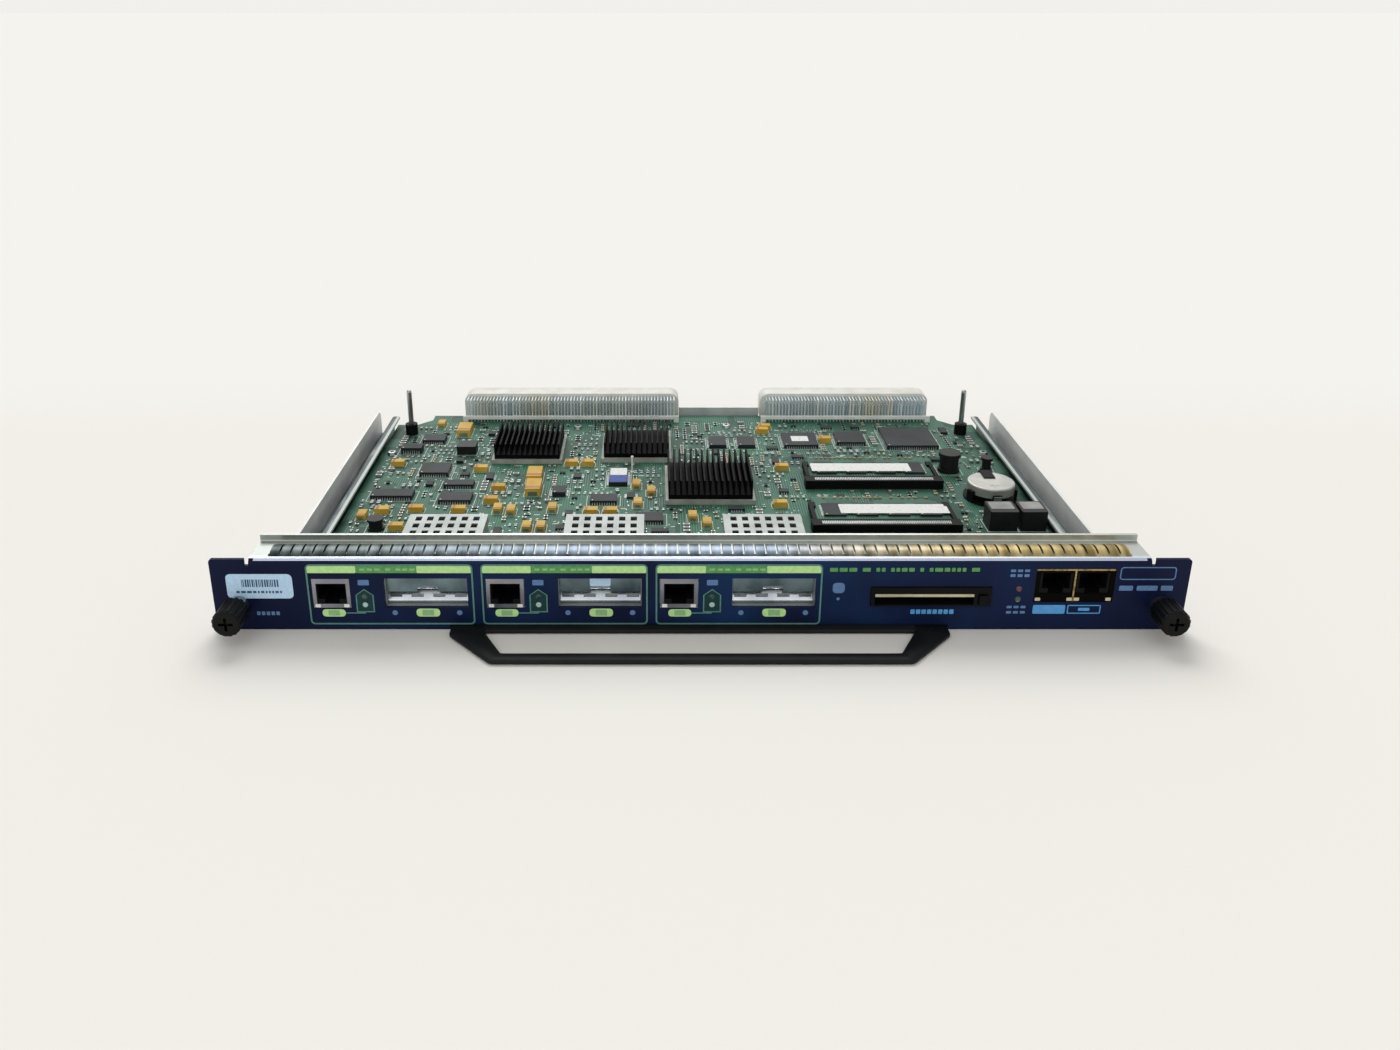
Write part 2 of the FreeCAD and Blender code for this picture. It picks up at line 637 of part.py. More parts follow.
def rail_rivets():
    rivets = []
    for x, y in rivet_places():
        shank = upright(x, y, HANDLE_THICK, RIVET_RADIUS, 2 * SHEET)
        head = cone_z(x, y, FLOOR_TOP + SHEET, RIVET_HEAD, RIVET_RADIUS, RIVET_HEAD_HEIGHT)
        tail_low = HANDLE_THICK - RIVET_HEAD_HEIGHT
        tail = cone_z(x, y, tail_low, RIVET_RADIUS, RIVET_HEAD, RIVET_HEAD_HEIGHT)
        rivets.append(shank.fuse([head, tail]))
    return rivets


def main_board():
    half = BOARD_WIDTH / 2
    inner = half - BOARD_NOTCH_WIDTH
    notch = BOARD_BACK - BOARD_NOTCH_DEPTH
    outline = (
        (-half, BOARD_FRONT), (half, BOARD_FRONT), (half, notch),
        (inner + BOARD_NOTCH_DEPTH / 2, notch), (inner, notch + BOARD_NOTCH_DEPTH / 2), (inner, BOARD_BACK),
        (-inner, BOARD_BACK), (-inner, notch + BOARD_NOTCH_DEPTH / 2),
        (-inner - BOARD_NOTCH_DEPTH / 2, notch), (-half, notch),
    )
    board = plate(outline, BOARD_THICK, BOARD_Z)
    cuts = [upright(x, y, BOARD_Z, SCREW_RADIUS + SLIP, BOARD_THICK) for x, y in STANDOFF_PLACES]
    for x in (-POST_X, POST_X):
        cuts.append(upright(x, POST_Y, BOARD_Z, POST_FOOT_RADIUS + SLIP, BOARD_THICK))
    return board.cut(cuts)


def board_standoffs():
    posts = []
    for x, y in STANDOFF_PLACES:
        post = upright(x, y, FLOOR_TOP, STANDOFF_RADIUS, STANDOFF_HEIGHT)
        posts.append(post.cut(upright(x, y, FLOOR_TOP, SCREW_RADIUS + SLIP, STANDOFF_HEIGHT)))
    return posts


def board_screws():
    screws = []
    for x, y in STANDOFF_PLACES:
        shank_length = BOARD_THICK + STANDOFF_HEIGHT
        shank = upright(x, y, FLOOR_TOP, SCREW_RADIUS, shank_length)
        head = cone_z(x, y, BOARD_TOP, SCREW_HEAD_RADIUS, SCREW_RADIUS, BOARD_SCREW_HEAD)
        screws.append(shank.fuse(head))
    return screws


def plug_cavity(x, top):
    """Room for a plug with its latch below."""
    low = top - PLUG_HEIGHT
    back = JACK_FRONT + PLUG_DEPTH
    main = box(x - PLUG_WIDTH / 2, x + PLUG_WIDTH / 2, JACK_FRONT, back, low, top)
    latch = box(x - LATCH_WIDTH / 2, x + LATCH_WIDTH / 2, JACK_FRONT, back, low - LATCH_HEIGHT, low)
    return main.fuse(latch)


def face_window(x, width, top):
    """Opening in a shield's face, as tall as the plug's room."""
    low = top - PLUG_HEIGHT - LATCH_HEIGHT
    return box(x - width / 2, x + width / 2, JACK_FRONT, JACK_FRONT + SHIELD_THICK, low, top)


def jack_core(x, width, z, top):
    inside = width / 2 - SHIELD_THICK
    front = JACK_FRONT + SHIELD_THICK
    back = JACK_FRONT + JACK_DEPTH - SHIELD_THICK
    return box(x - inside, x + inside, front, back, z, top - SHIELD_THICK)


def jack_shell(x, width, z, top, windows):
    """A can of thin sheet round a jack, open below, with windows in its face."""
    can = box(x - width / 2, x + width / 2, JACK_FRONT, JACK_FRONT + JACK_DEPTH, z, top)
    return can.cut([jack_core(x, width, z, top)] + windows)


def jack_shields():
    shields = []
    for x in JACK_XS:
        window = face_window(x, FACE_WINDOW, JACK_TOP - PLUG_TOP)
        shields.append(jack_shell(x, JACK_WIDTH, BOARD_TOP, JACK_TOP, [window]))
    return shields


def jack_insert(x):
    return jack_core(x, JACK_WIDTH, BOARD_TOP, JACK_TOP).cut(plug_cavity(x, JACK_TOP - PLUG_TOP))


def console_shield():
    windows = [face_window(x, CONSOLE_WINDOW, CONSOLE_TOP - CONSOLE_PLUG_TOP) for x in CONSOLE_XS]
    return jack_shell(CONSOLE_X, CONSOLE_WIDTH, CONSOLE_Z, CONSOLE_TOP, windows)


def console_insert():
    core = jack_core(CONSOLE_X, CONSOLE_WIDTH, CONSOLE_Z, CONSOLE_TOP)
    base_front = PANEL_THICK + GAP
    half = CONSOLE_WIDTH / 2
    base = box(CONSOLE_X - half, CONSOLE_X + half, base_front, JACK_FRONT + JACK_DEPTH, BOARD_TOP, CONSOLE_Z)
    cavities = [plug_cavity(x, CONSOLE_TOP - CONSOLE_PLUG_TOP) for x in CONSOLE_XS]
    return core.fuse(base).removeSplitter().cut(cavities)


def port_cage(x):
    """Floor, sides and back of a transceiver cage, with holes for the flap's stub pins."""
    half = CAGE_WIDTH / 2
    shell = box(x - half, x + half, PANEL_THICK, CAGE_BACK, BOARD_TOP, CAGE_TOP)
    room = box(x - CAGE_INSIDE, x + CAGE_INSIDE, PANEL_THICK, CAGE_BACK - CAGE_SHEET,
               BOARD_TOP + CAGE_SHEET, CAGE_TOP)
    pivots = along_x(x - half, FLAP_AXIS_Y, FLAP_AXIS_Z, FLAP_PIN + SLIP, CAGE_WIDTH)
    return shell.cut([room, pivots])


def cage_lid(x):
    half = CAGE_WIDTH / 2 + CAGE_SHEET / 2
    top = CAGE_TOP + CAGE_SHEET / 2
    low = CAGE_TOP - LID_SKIRT
    skirts = [box(x + s * half - CAGE_SHEET / 2, x + s * half + CAGE_SHEET / 2, PANEL_THICK, CAGE_BACK,
                  low, CAGE_TOP) for s in (-1, 1)]
    outside = half + CAGE_SHEET / 2
    lid = box(x - outside, x + outside, PANEL_THICK, CAGE_BACK, CAGE_TOP, top + CAGE_SHEET / 2)
    lid = lid.fuse(skirts).removeSplitter()
    vents = []
    for column in range(VENT_COLUMNS):
        for row in range(VENT_ROWS):
            vent_x = x + (column - (VENT_COLUMNS - 1) / 2) * VENT_PITCH_X
            vent_y = CAGE_BACK - VENT_BACK - row * VENT_PITCH_Y
            vents.append(block(vent_x, vent_y, CAGE_TOP, VENT_WIDTH, VENT_LENGTH, CAGE_SHEET))
    return lid.cut(vents)


def port_flap(x):
    """A plate that hangs from its barrel, with stub pins in the cage's side walls."""
    half = CAGE_INSIDE - GAP
    front = FLAP_AXIS_Y - FLAP_BARREL
    leaf = box(x - half, x + half, front, front + FLAP_THICK, FLAP_AXIS_Z - FLAP_HEIGHT, FLAP_AXIS_Z)
    low_corners = []
    for edge in leaf.Edges:
        if edge.BoundBox.ZMax < FLAP_AXIS_Z - FLAP_HEIGHT / 2 and edge.BoundBox.XLength < GAP:
            low_corners.append(edge)
    leaf = leaf.makeFillet(FLAP_CORNER / 2, [e for e in low_corners if e.BoundBox.YLength > FLAP_THICK / 2])
    low = FLAP_AXIS_Z - FLAP_HEIGHT
    notch = box(x - FLAP_NOTCH_WIDTH / 2, x + FLAP_NOTCH_WIDTH / 2, front, front + FLAP_THICK,
                low - FLAP_NOTCH_HEIGHT, low + FLAP_NOTCH_HEIGHT)
    leaf = leaf.cut(round_edges(notch, Vec(0, 1, 0), FLAP_CORNER))
    barrel = along_x(x - half, FLAP_AXIS_Y, FLAP_AXIS_Z, FLAP_BARREL, 2 * half)
    reach = CAGE_WIDTH / 2 - FLAP_PIN_SHORT
    pins = along_x(x - reach, FLAP_AXIS_Y, FLAP_AXIS_Z, FLAP_PIN, 2 * reach)
    return leaf.fuse([barrel, pins]).removeSplitter()


def port_sills():
    sills = []
    front = PANEL_THICK + GAP + SILL_THICK / 2
    foot = BOARD_TOP + CAGE_SHEET + SILL_THICK / 2
    crest = front + SILL_RISE
    half = CAGE_INSIDE - GAP
    slot_low = foot + SILL_SLOT_LOW
    path = (
        (front + SILL_FOOT, foot), (front, foot), (crest, foot + SILL_RISE),
        (crest + SILL_TAIL, foot + SILL_RISE - SILL_TAIL),
    )
    for x in CAGE_XS:
        sill = folded_across(path, SILL_THICK, x - half, x + half)
        slots = []
        for slot in range(SILL_SLOTS):
            slot_x = x + (slot - (SILL_SLOTS - 1) / 2) * SILL_SLOT_PITCH
            slots.append(box(slot_x - SILL_SLOT_WIDTH / 2, slot_x + SILL_SLOT_WIDTH / 2, front, crest,
                             slot_low, slot_low + SILL_SLOT_HEIGHT))
        sills.append(sill.cut(slots))
    return sills


def cage_connectors():
    plugs = []
    for x in CAGE_XS:
        z = BOARD_TOP + CAGE_SHEET
        y = CAGE_BACK - CAGE_SHEET - CAGE_PLUG_DEPTH / 2
        body = block(x, y, z, CAGE_PLUG_WIDTH, CAGE_PLUG_DEPTH, CAGE_PLUG_HEIGHT)
        slot_y = y - CAGE_PLUG_DEPTH / 4
        slot_z = z + CAGE_PLUG_HEIGHT / 2
        slot_width = CAGE_PLUG_WIDTH - 2 * CAGE_PLUG_SLOT
        slot = block(x, slot_y, slot_z, slot_width, CAGE_PLUG_DEPTH / 2, CAGE_PLUG_SLOT)
        plugs.append(body.cut(slot))
    return plugs


def card_slot():
    """Plastic slot body: its face passes the panel, and its rear part stands on the board."""
    right = CARD_LEFT + CARD_WIDTH
    face = box(CARD_LEFT, right, -CARD_PROUD, PANEL_THICK + GAP, BOARD_TOP + CARD_RAISE, CARD_TOP)
    body = box(CARD_LEFT, right, PANEL_THICK + GAP, CARD_BACK, BOARD_TOP, CARD_TOP)
    opening = box(CARD_LEFT + CARD_SIDE, CARD_LEFT + CARD_SIDE + CARD_OPEN_WIDTH, -CARD_PROUD,
                  CARD_OPEN_DEPTH, CARD_OPEN_LOW, CARD_OPEN_TOP)
    half = BUTTON_WIDTH / 2 + GAP
    rise = BUTTON_HEIGHT / 2 + GAP
    guide = box(BUTTON_X - half, BUTTON_X + half, -CARD_PROUD, BUTTON_LENGTH + GAP,
                BUTTON_Z - rise, BUTTON_Z + rise)
    return face.fuse(body).removeSplitter().cut([opening, guide])


def eject_button():
    front = -CARD_PROUD - BUTTON_PROUD
    button = box(BUTTON_X - BUTTON_WIDTH / 2, BUTTON_X + BUTTON_WIDTH / 2, front, BUTTON_LENGTH,
                 BUTTON_Z - BUTTON_HEIGHT / 2, BUTTON_Z + BUTTON_HEIGHT / 2)
    return round_edges(button, Vec(0, 1, 0), GAP)


def led_blocks():
    y = LED_FRONT + LED_DEPTH / 2
    return [block(x, y, BOARD_TOP, LED_WIDTH, LED_DEPTH, LED_BLOCK_HEIGHT) for x, heights in LED_COLUMNS]


def light_pipes():
    pipes = []
    for x, heights in LED_COLUMNS:
        for height in heights:
            pipe = along_y(x, -LED_PROUD, BOARD_TOP + height, LED_LENS, LED_PROUD + LED_FRONT)
            face = min(pipe.Edges, key=lambda edge: edge.BoundBox.YMax)
            pipes.append(pipe.makeChamfer(LED_PROUD, [face]))
    return pipes


def screw_ferrule(x):
    sleeve = along_y(x, -FERRULE_LENGTH, SCREW_Z, FERRULE_RADIUS, FERRULE_LENGTH)
    neck = along_y(x, -FERRULE_LENGTH, SCREW_Z, FERRULE_NECK, FERRULE_LENGTH + PANEL_THICK)
    bore = along_y(x, -FERRULE_LENGTH, SCREW_Z, NECK_RADIUS + SLIP, FERRULE_LENGTH + PANEL_THICK)
    return sleeve.fuse(neck).cut(bore)


def knob(x):
    """Fluted knob with a cross recess, bored out behind to pass over the ferrule."""
    rear = -KNOB_REST
    front = rear - KNOB_LENGTH
    body = along_y(x, front, SCREW_Z, KNOB_RADIUS, KNOB_LENGTH)
    body = body.makeChamfer(KNOB_EDGE, [min(body.Edges, key=lambda edge: edge.BoundBox.YMax)])
    cuts = []
    for flute in range(KNOB_FLUTES):
        angle = 2 * math.pi * flute / KNOB_FLUTES
        flute_x = x + (KNOB_RADIUS + KNOB_FLUTE_RADIUS / 3) * math.cos(angle)
        flute_z = SCREW_Z + (KNOB_RADIUS + KNOB_FLUTE_RADIUS / 3) * math.sin(angle)
        cuts.append(along_y(flute_x, front, flute_z, KNOB_FLUTE_RADIUS, KNOB_LENGTH))
    room = SCREW_TRAVEL + GAP + FERRULE_LENGTH - KNOB_REST
    cuts.append(along_y(x, rear - room, SCREW_Z, FERRULE_RADIUS + GAP, room))
    seat = front + KNOB_CROSS_DEPTH
    cuts.append(along_y(x, seat, SCREW_Z, NECK_RADIUS + SLIP, rear - seat))
    reach = KNOB_RADIUS / 2
    for width, height in ((reach, KNOB_CROSS / 2), (KNOB_CROSS / 2, reach)):
        cuts.append(box(x - width, x + width, front, front + KNOB_CROSS_DEPTH - GAP,
                        SCREW_Z - height, SCREW_Z + height))
    return body.cut(cuts)


def captive_screw(x):
    front = -KNOB_REST - KNOB_LENGTH + KNOB_CROSS_DEPTH
    thread = PANEL_THICK + 2 * GAP + RING_THICK
    tip = PANEL_THICK + STUD_LENGTH
    stud = along_y(x, thread, SCREW_Z, STUD_RADIUS, tip - thread)
    stud = stud.makeChamfer(STUD_POINT, [max(stud.Edges, key=lambda edge: edge.BoundBox.YMin)])
    return stud.fuse(along_y(x, front, SCREW_Z, NECK_RADIUS, thread - front))


def retaining_ring(x):
    start = PANEL_THICK + GAP
    ring = along_y(x, start, SCREW_Z, RING_RADIUS, RING_THICK)
    return ring.cut(along_y(x, start, SCREW_Z, NECK_RADIUS + SLIP, RING_THICK))


def heat_sink(x, y, side, height):
    z = BOARD_TOP + PACKAGE_HEIGHT
    body = block(x, y, z, side, side, height)
    count = int((side - FIN_THICK) / FIN_PITCH)
    pitch = (side - FIN_THICK) / count
    slots = []
    for fin in range(count):
        left = x - side / 2 + FIN_THICK + fin * pitch
        right = left + pitch - FIN_THICK
        slots.append(box(left, right, y - side / 2, y + side / 2, z + SINK_BASE, z + height))
    return body.cut(slots)


def processor_packages():
    packages = []
    for name, x, y, side, height in HEAT_SINKS:
        wide = side + 2 * PACKAGE_RIM
        packages.append(block(x, y, BOARD_TOP, wide, wide, PACKAGE_HEIGHT))
    return packages


def socket_arm(x, back, side):
    """Arm beside a module: its tip wraps the module's edge, and a nub stands in the module's notch."""
    inner = MODULE_WIDTH / 2 + MODULE_PLAY
    outer = inner + SOCKET_ARM_WIDTH
    tab = inner - SOCKET_TAB
    slot_low = MODULE_Z - MODULE_PLAY
    slot_high = MODULE_Z + MODULE_THICK + MODULE_PLAY
    low = slot_low - SOCKET_TAB
    high = slot_high + SOCKET_TAB
    tip = back + SOCKET_ARM
    tip_start = tip - SOCKET_ARM / 4
    arm = box(x + inner, x + outer, back, tip, low, high)
    arm = arm.fuse(box(x + tab, x + outer, tip_start, tip, low, high))
    arm = arm.cut(box(x + tab, x + inner, tip_start, tip, slot_low, slot_high))
    notch_y = back - MODULE_INSERT + MODULE_NOTCH_REACH
    nub = upright(x + MODULE_WIDTH / 2, notch_y, slot_low, MODULE_NOTCH - MODULE_PLAY, slot_high - slot_low)
    arm = arm.fuse(nub)
    return arm if side > 0 else arm.mirror(Vec(x, 0, 0), Vec(1, 0, 0))


def memory_socket(x, front):
    """Bar with a slot and a key rib for the module's edge, and two arms that hold the module's sides."""
    back = front + SOCKET_DEPTH
    slot_half = MODULE_WIDTH / 2 + MODULE_PLAY
    slot_front = back - MODULE_INSERT - MODULE_PLAY
    slot_low = MODULE_Z - MODULE_PLAY
    slot_high = MODULE_Z + MODULE_THICK + MODULE_PLAY
    key_half = KEY_WIDTH / 2 - MODULE_PLAY
    bar = box(x - SOCKET_HALF, x + SOCKET_HALF, front, back, BOARD_TOP, BOARD_TOP + SOCKET_HEIGHT)
    slot = box(x - slot_half, x + slot_half, slot_front, back, slot_low, slot_high)
    slot = slot.cut(box(x + KEY_X - key_half, x + KEY_X + key_half, slot_front, back, slot_low, slot_high))
    socket = bar.cut(slot)
    return socket.fuse([socket_arm(x, back, side) for side in (-1, 1)]).removeSplitter()


def contact_edge(front):
    """Front edge of the module in a socket whose own front edge is given."""
    return front + SOCKET_DEPTH - MODULE_INSERT


def memory_module(x, front):
    half = MODULE_WIDTH / 2
    edge = contact_edge(front)
    card = box(x - half, x + half, edge, edge + MODULE_DEPTH, MODULE_Z, MODULE_Z + MODULE_THICK)
    key_back = edge + MODULE_INSERT + MODULE_PLAY
    cuts = [box(x + KEY_X - KEY_WIDTH / 2, x + KEY_X + KEY_WIDTH / 2, edge, key_back,
                MODULE_Z, MODULE_Z + MODULE_THICK)]
    for side_x in (x - half, x + half):
        cuts.append(upright(side_x, edge + MODULE_NOTCH_REACH, MODULE_Z, MODULE_NOTCH, MODULE_THICK))
    return card.cut(cuts)


def memory_chips():
    chips = []
    width, depth, height = MEMORY_CHIP
    for name, x, front in MEMORY:
        y = contact_edge(front) + MEMORY_CHIP_REACH
        for step in MEMORY_CHIP_X:
            chips.append(block(x + step, y, MODULE_Z + MODULE_THICK, width, depth, height))
    return chips


def logic_chips():
    return [block(x, y, BOARD_TOP, width, depth, height) for x, y, width, depth, height in LOGIC_CHIPS]


def tantalum_capacitors():
    length, width, height = CAPACITOR
    parts = [block(x, y, BOARD_TOP, length, width, height) for x, y in CAPACITORS_ACROSS]
    parts += [block(x, y, BOARD_TOP, width, length, height) for x, y in CAPACITORS_ALONG]
    parts += [block(x, y, BOARD_TOP, *LARGE_CAPACITOR) for x, y in LARGE_CAPACITORS]
    return parts


def power_coils():
    coils = []
    for x, y, radius, height in DRUM_COILS:
        flange = height / 5
        waist = upright(x, y, BOARD_TOP, radius - DRUM_WAIST, height)
        ends = [upright(x, y, BOARD_TOP + low, radius, flange) for low in (0, height - flange)]
        coils.append(waist.fuse(ends))
    for x, y, width, depth, height in BLOCK_COILS:
        coils.append(round_edges(block(x, y, BOARD_TOP, width, depth, height), Vec(0, 0, 1), COIL_ROUND))
    return coils


def coin_cell():
    cell = upright(CELL_X, CELL_Y, BOARD_TOP + CELL_LIFT, CELL_RADIUS, CELL_THICK)
    top = max(cell.Edges, key=lambda edge: edge.BoundBox.ZMin)
    return cell.makeFillet(CELL_THICK / 6, [top])


def coin_cell_holder():
    """A pedestal on a flange, prongs round the cell, and a spring strap over the cell's top."""
    inside = CELL_RADIUS + SLIP
    outside = inside + HOLDER_WALL
    cup = upright(CELL_X, CELL_Y, BOARD_TOP, outside, HOLDER_FLANGE)
    cup = cup.fuse(upright(CELL_X, CELL_Y, BOARD_TOP, HOLDER_PEDESTAL, CELL_LIFT))
    for angle in PRONG_ANGLES:
        prong = box(CELL_X + inside, CELL_X + outside, CELL_Y - PRONG_WIDTH / 2, CELL_Y + PRONG_WIDTH / 2,
                    BOARD_TOP, BOARD_TOP + CELL_LIFT + HOLDER_RIM)
        prong.rotate(Vec(CELL_X, CELL_Y, 0), Vec(0, 0, 1), angle)
        cup = cup.fuse(prong)
    back = CELL_Y + outside + CLIP_THICK / 2
    top = BOARD_TOP + CELL_LIFT + CELL_THICK + CLIP_THICK / 2
    path = ((back, BOARD_TOP), (back, top), (back - CLIP_REACH, top))
    clip = folded_across(path, CLIP_THICK, CELL_X - CLIP_WIDTH / 2, CELL_X + CLIP_WIDTH / 2)
    return [cup, clip]


def backplane_connector(left, right):
    """Long housing with rounded top corners and a recessed mating face at the back."""
    top = BOARD_TOP + CONNECTOR_HEIGHT
    body = box(left, right, CONNECTOR_FRONT, BACK_REACH, BOARD_TOP, top)
    corners = []
    for edge in body.Edges:
        if edge.BoundBox.ZMin > BOARD_TOP and edge.BoundBox.YLength > CONNECTOR_ROUND:
            corners.append(edge)
    body = body.makeFillet(CONNECTOR_ROUND, corners)
    wall = CONNECTOR_WALL
    return body.cut(box(left + wall, right - wall, BACK_REACH - CONNECTOR_RECESS, BACK_REACH,
                        BOARD_TOP + wall, top - wall))


def connector_pins():
    """Right-angle pins from each connector's front down to the board, in two rows."""
    pins = []
    half = PIN_SIZE / 2
    for name, left, right in CONNECTORS:
        count = int((right - left - 2 * PIN_END) / PIN_PITCH) + 1
        first = (left + right - (count - 1) * PIN_PITCH) / 2
        for height, reach in PIN_ROWS:
            z = BOARD_TOP + height
            y = CONNECTOR_FRONT - reach
            outline = (
                (CONNECTOR_FRONT, z + half), (y - half, z + half), (y - half, BOARD_TOP),
                (y + half, BOARD_TOP), (y + half, z - half), (CONNECTOR_FRONT, z - half),
            )
            for column in range(count):
                x = first + column * PIN_PITCH
                pins.append(slice_x(outline, x - half, x + half))
    return pins


def pin_combs():
    """White strip in front of each connector's outer pins, on a foot at each end."""
    combs = []
    back = CONNECTOR_FRONT - PIN_ROWS[0][1] - PIN_SIZE / 2
    for name, left, right in CONNECTORS:
        comb = box(left, right, back - COMB_DEPTH, back, BOARD_TOP, BOARD_TOP + COMB_HIGH)
        combs.append(comb.cut(box(left + COMB_FOOT, right - COMB_FOOT, back - COMB_DEPTH, back,
                                  BOARD_TOP, BOARD_TOP + COMB_LOW)))
    return combs


def guide_posts():
    posts = []
    for x in (-POST_X, POST_X):
        shoulder = BOARD_TOP + POST_BASE_HEIGHT
        post = upright(x, POST_Y, shoulder, POST_RADIUS, POST_TOP - shoulder)
        top = max(post.Edges, key=lambda edge: edge.BoundBox.ZMin)
        post = post.makeFillet(POST_RADIUS * POST_DOME, [top])
        posts.append(post.fuse(upright(x, POST_Y, FLOOR_TOP, POST_FOOT_RADIUS, shoulder - FLOOR_TOP)))
    return posts


def post_bases():
    bases = []
    for x in (-POST_X, POST_X):
        base = upright(x, POST_Y, BOARD_TOP, POST_BASE_RADIUS, POST_BASE_HEIGHT)
        bases.append(base.cut(upright(x, POST_Y, BOARD_TOP, POST_FOOT_RADIUS + SLIP, POST_BASE_HEIGHT)))
    return bases


os.makedirs("parts", exist_ok=True)

save("front_panel", front_panel())
save("finger_strip", finger_strip())
save("carrier_pan", carrier_pan())
save("right_rail", right_rail())
save("left_rail", mirrored(right_rail()))
save("rail_rivets", *rail_rivets())
save("pull_handle", pull_handle())
save("handle_screws", *handle_screws())
save("screw_ferrules", screw_ferrule(-SCREW_X), screw_ferrule(SCREW_X))
for side_name, side_x in (("left", -SCREW_X), ("right", SCREW_X)):
    save(side_name + "_knob", knob(side_x))
    save(side_name + "_screw", captive_screw(side_x))
    save(side_name + "_retainer", retaining_ring(side_x))

save("main_board", main_board())
save("board_standoffs", *board_standoffs())
save("board_screws", *board_screws())

save("jack_shields", *jack_shields())
save("console_shield", console_shield())
save("console_insert", console_insert())
for port in range(PORT_COUNT):
    number = str(port + 1)
    save("jack_insert_" + number, jack_insert(JACK_XS[port]))
    save("port_cage_" + number, port_cage(CAGE_XS[port]))
    save("cage_lid_" + number, cage_lid(CAGE_XS[port]))
    save("port_flap_" + number, port_flap(CAGE_XS[port]))
save("port_sills", *port_sills())
save("cage_connectors", *cage_connectors())
save("card_slot", card_slot())
save("eject_button", eject_button())
save("led_blocks", *led_blocks())
save("light_pipes", *light_pipes())

for sink_name, sink_x, sink_y, sink_side, sink_height in HEAT_SINKS:
    save("heat_sink_" + sink_name, heat_sink(sink_x, sink_y, sink_side, sink_height))
save("processor_packages", *processor_packages())
for module_name, module_x, module_front in MEMORY:
    save("memory_socket_" + module_name, memory_socket(module_x, module_front))
    save("memory_module_" + module_name, memory_module(module_x, module_front))
save("memory_chips", *memory_chips())
save("logic_chips", *logic_chips())
save("tantalum_capacitors", *tantalum_capacitors())
save("power_coils", *power_coils())
save("coin_cell", coin_cell())
save("coin_cell_holder", *coin_cell_holder())

for end_name, end_left, end_right in CONNECTORS:
    save(end_name + "_backplane_connector", backplane_connector(end_left, end_right))
save("connector_pins", *connector_pins())
save("pin_combs", *pin_combs())
save("guide_posts", *guide_posts())
save("post_bases", *post_bases())
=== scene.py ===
# Router processor module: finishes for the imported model, its printed panel, its soldered parts, a plain stage
import bmesh
import bpy
import json
import math
import random
from bmesh.types import BMEdge, BMVert
from mathutils import Matrix, Vector


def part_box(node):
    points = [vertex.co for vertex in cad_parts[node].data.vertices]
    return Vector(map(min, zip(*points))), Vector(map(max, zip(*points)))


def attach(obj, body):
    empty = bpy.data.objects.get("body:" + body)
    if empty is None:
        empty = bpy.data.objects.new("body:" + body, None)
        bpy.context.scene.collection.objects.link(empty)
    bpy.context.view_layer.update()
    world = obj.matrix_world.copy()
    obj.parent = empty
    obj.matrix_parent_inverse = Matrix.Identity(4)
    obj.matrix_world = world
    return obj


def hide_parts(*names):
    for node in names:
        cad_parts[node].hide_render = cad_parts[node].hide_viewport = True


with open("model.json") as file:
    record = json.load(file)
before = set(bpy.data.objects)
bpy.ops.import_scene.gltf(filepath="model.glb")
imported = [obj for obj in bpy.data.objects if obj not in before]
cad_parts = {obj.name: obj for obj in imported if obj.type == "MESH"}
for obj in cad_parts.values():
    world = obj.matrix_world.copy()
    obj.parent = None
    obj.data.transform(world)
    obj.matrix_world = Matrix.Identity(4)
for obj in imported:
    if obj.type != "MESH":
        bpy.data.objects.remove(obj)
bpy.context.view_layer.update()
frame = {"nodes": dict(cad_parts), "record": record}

# Shapes are drawn in millimetres from the panel's front face, as the part is: X right, Y back, Z up
MM = 0.001
FACE_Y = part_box("front_panel")[0].y
X, Y, Z = 0, 1, 2
SIDES = ("left", "right")
MERGE = 0.001           # points of a CAD mesh closer than this are one point
RISE = 0.06             # ink and labels stand this far off the panel
OVERPRINT = 1.5 * RISE  # and ink on other ink this far
FILM = 0.03             # thickness of print and plating on the board


def on_panel(point):
    """A point of the frame, in millimetres from the panel's face."""
    return Vector((point.x, point.y - FACE_Y, point.z)) / MM


def corners(node):
    """Lowest and highest corner of a node, in millimetres."""
    return tuple(on_panel(corner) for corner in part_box(node))


def solids(node):
    """Lowest and highest corner of each separate solid of a node, in millimetres."""
    bm = bmesh.new()
    bm.from_mesh(frame["nodes"][node].data)
    bmesh.ops.remove_doubles(bm, verts=bm.verts, dist=MERGE * MM)
    boxes = []
    left = set(bm.verts)
    while left:
        group = set()
        front = [left.pop()]
        while front:
            vert = front.pop()
            group.add(vert)
            near = {edge.other_vert(vert) for edge in vert.link_edges} & left
            left -= near
            front.extend(near)
        points = [on_panel(vert.co) for vert in group]
        low = Vector([min(point[axis] for point in points) for axis in (X, Y, Z)])
        high = Vector([max(point[axis] for point in points) for axis in (X, Y, Z)])
        boxes.append((low, high))
    bm.free()
    return sorted(boxes, key=lambda box: tuple(round(value, 2) for value in box[0]))


BOARD_LOW, BOARD_HIGH = corners("main_board")
BOARD_TOP = BOARD_HIGH.z
COMB_LOW, COMB_HIGH = corners("pin_combs")
RAIL_BACK = corners("left_rail")[1].y
JACKS = [corners(f"jack_insert_{port}") for port in (1, 2, 3)]
JACK_XS = [(low.x + high.x) / 2 for low, high in JACKS]
CONSOLE_LOW, CONSOLE_HIGH = corners("console_shield")
CONSOLE_X = (CONSOLE_LOW.x + CONSOLE_HIGH.x) / 2


# Mesh tools

FRONT, BACK = 1, -1
ALIGNED = 0.99          # an edge runs along an axis if this share of it does
BLOCK_STEPS = 3
RING_STEPS = 4
SEAM = 0.0005
SHARP = math.radians(35)


def only(geom, kind):
    """The vertices or the edges among what an operator gives back."""
    return [item for item in geom if isinstance(item, kind)]


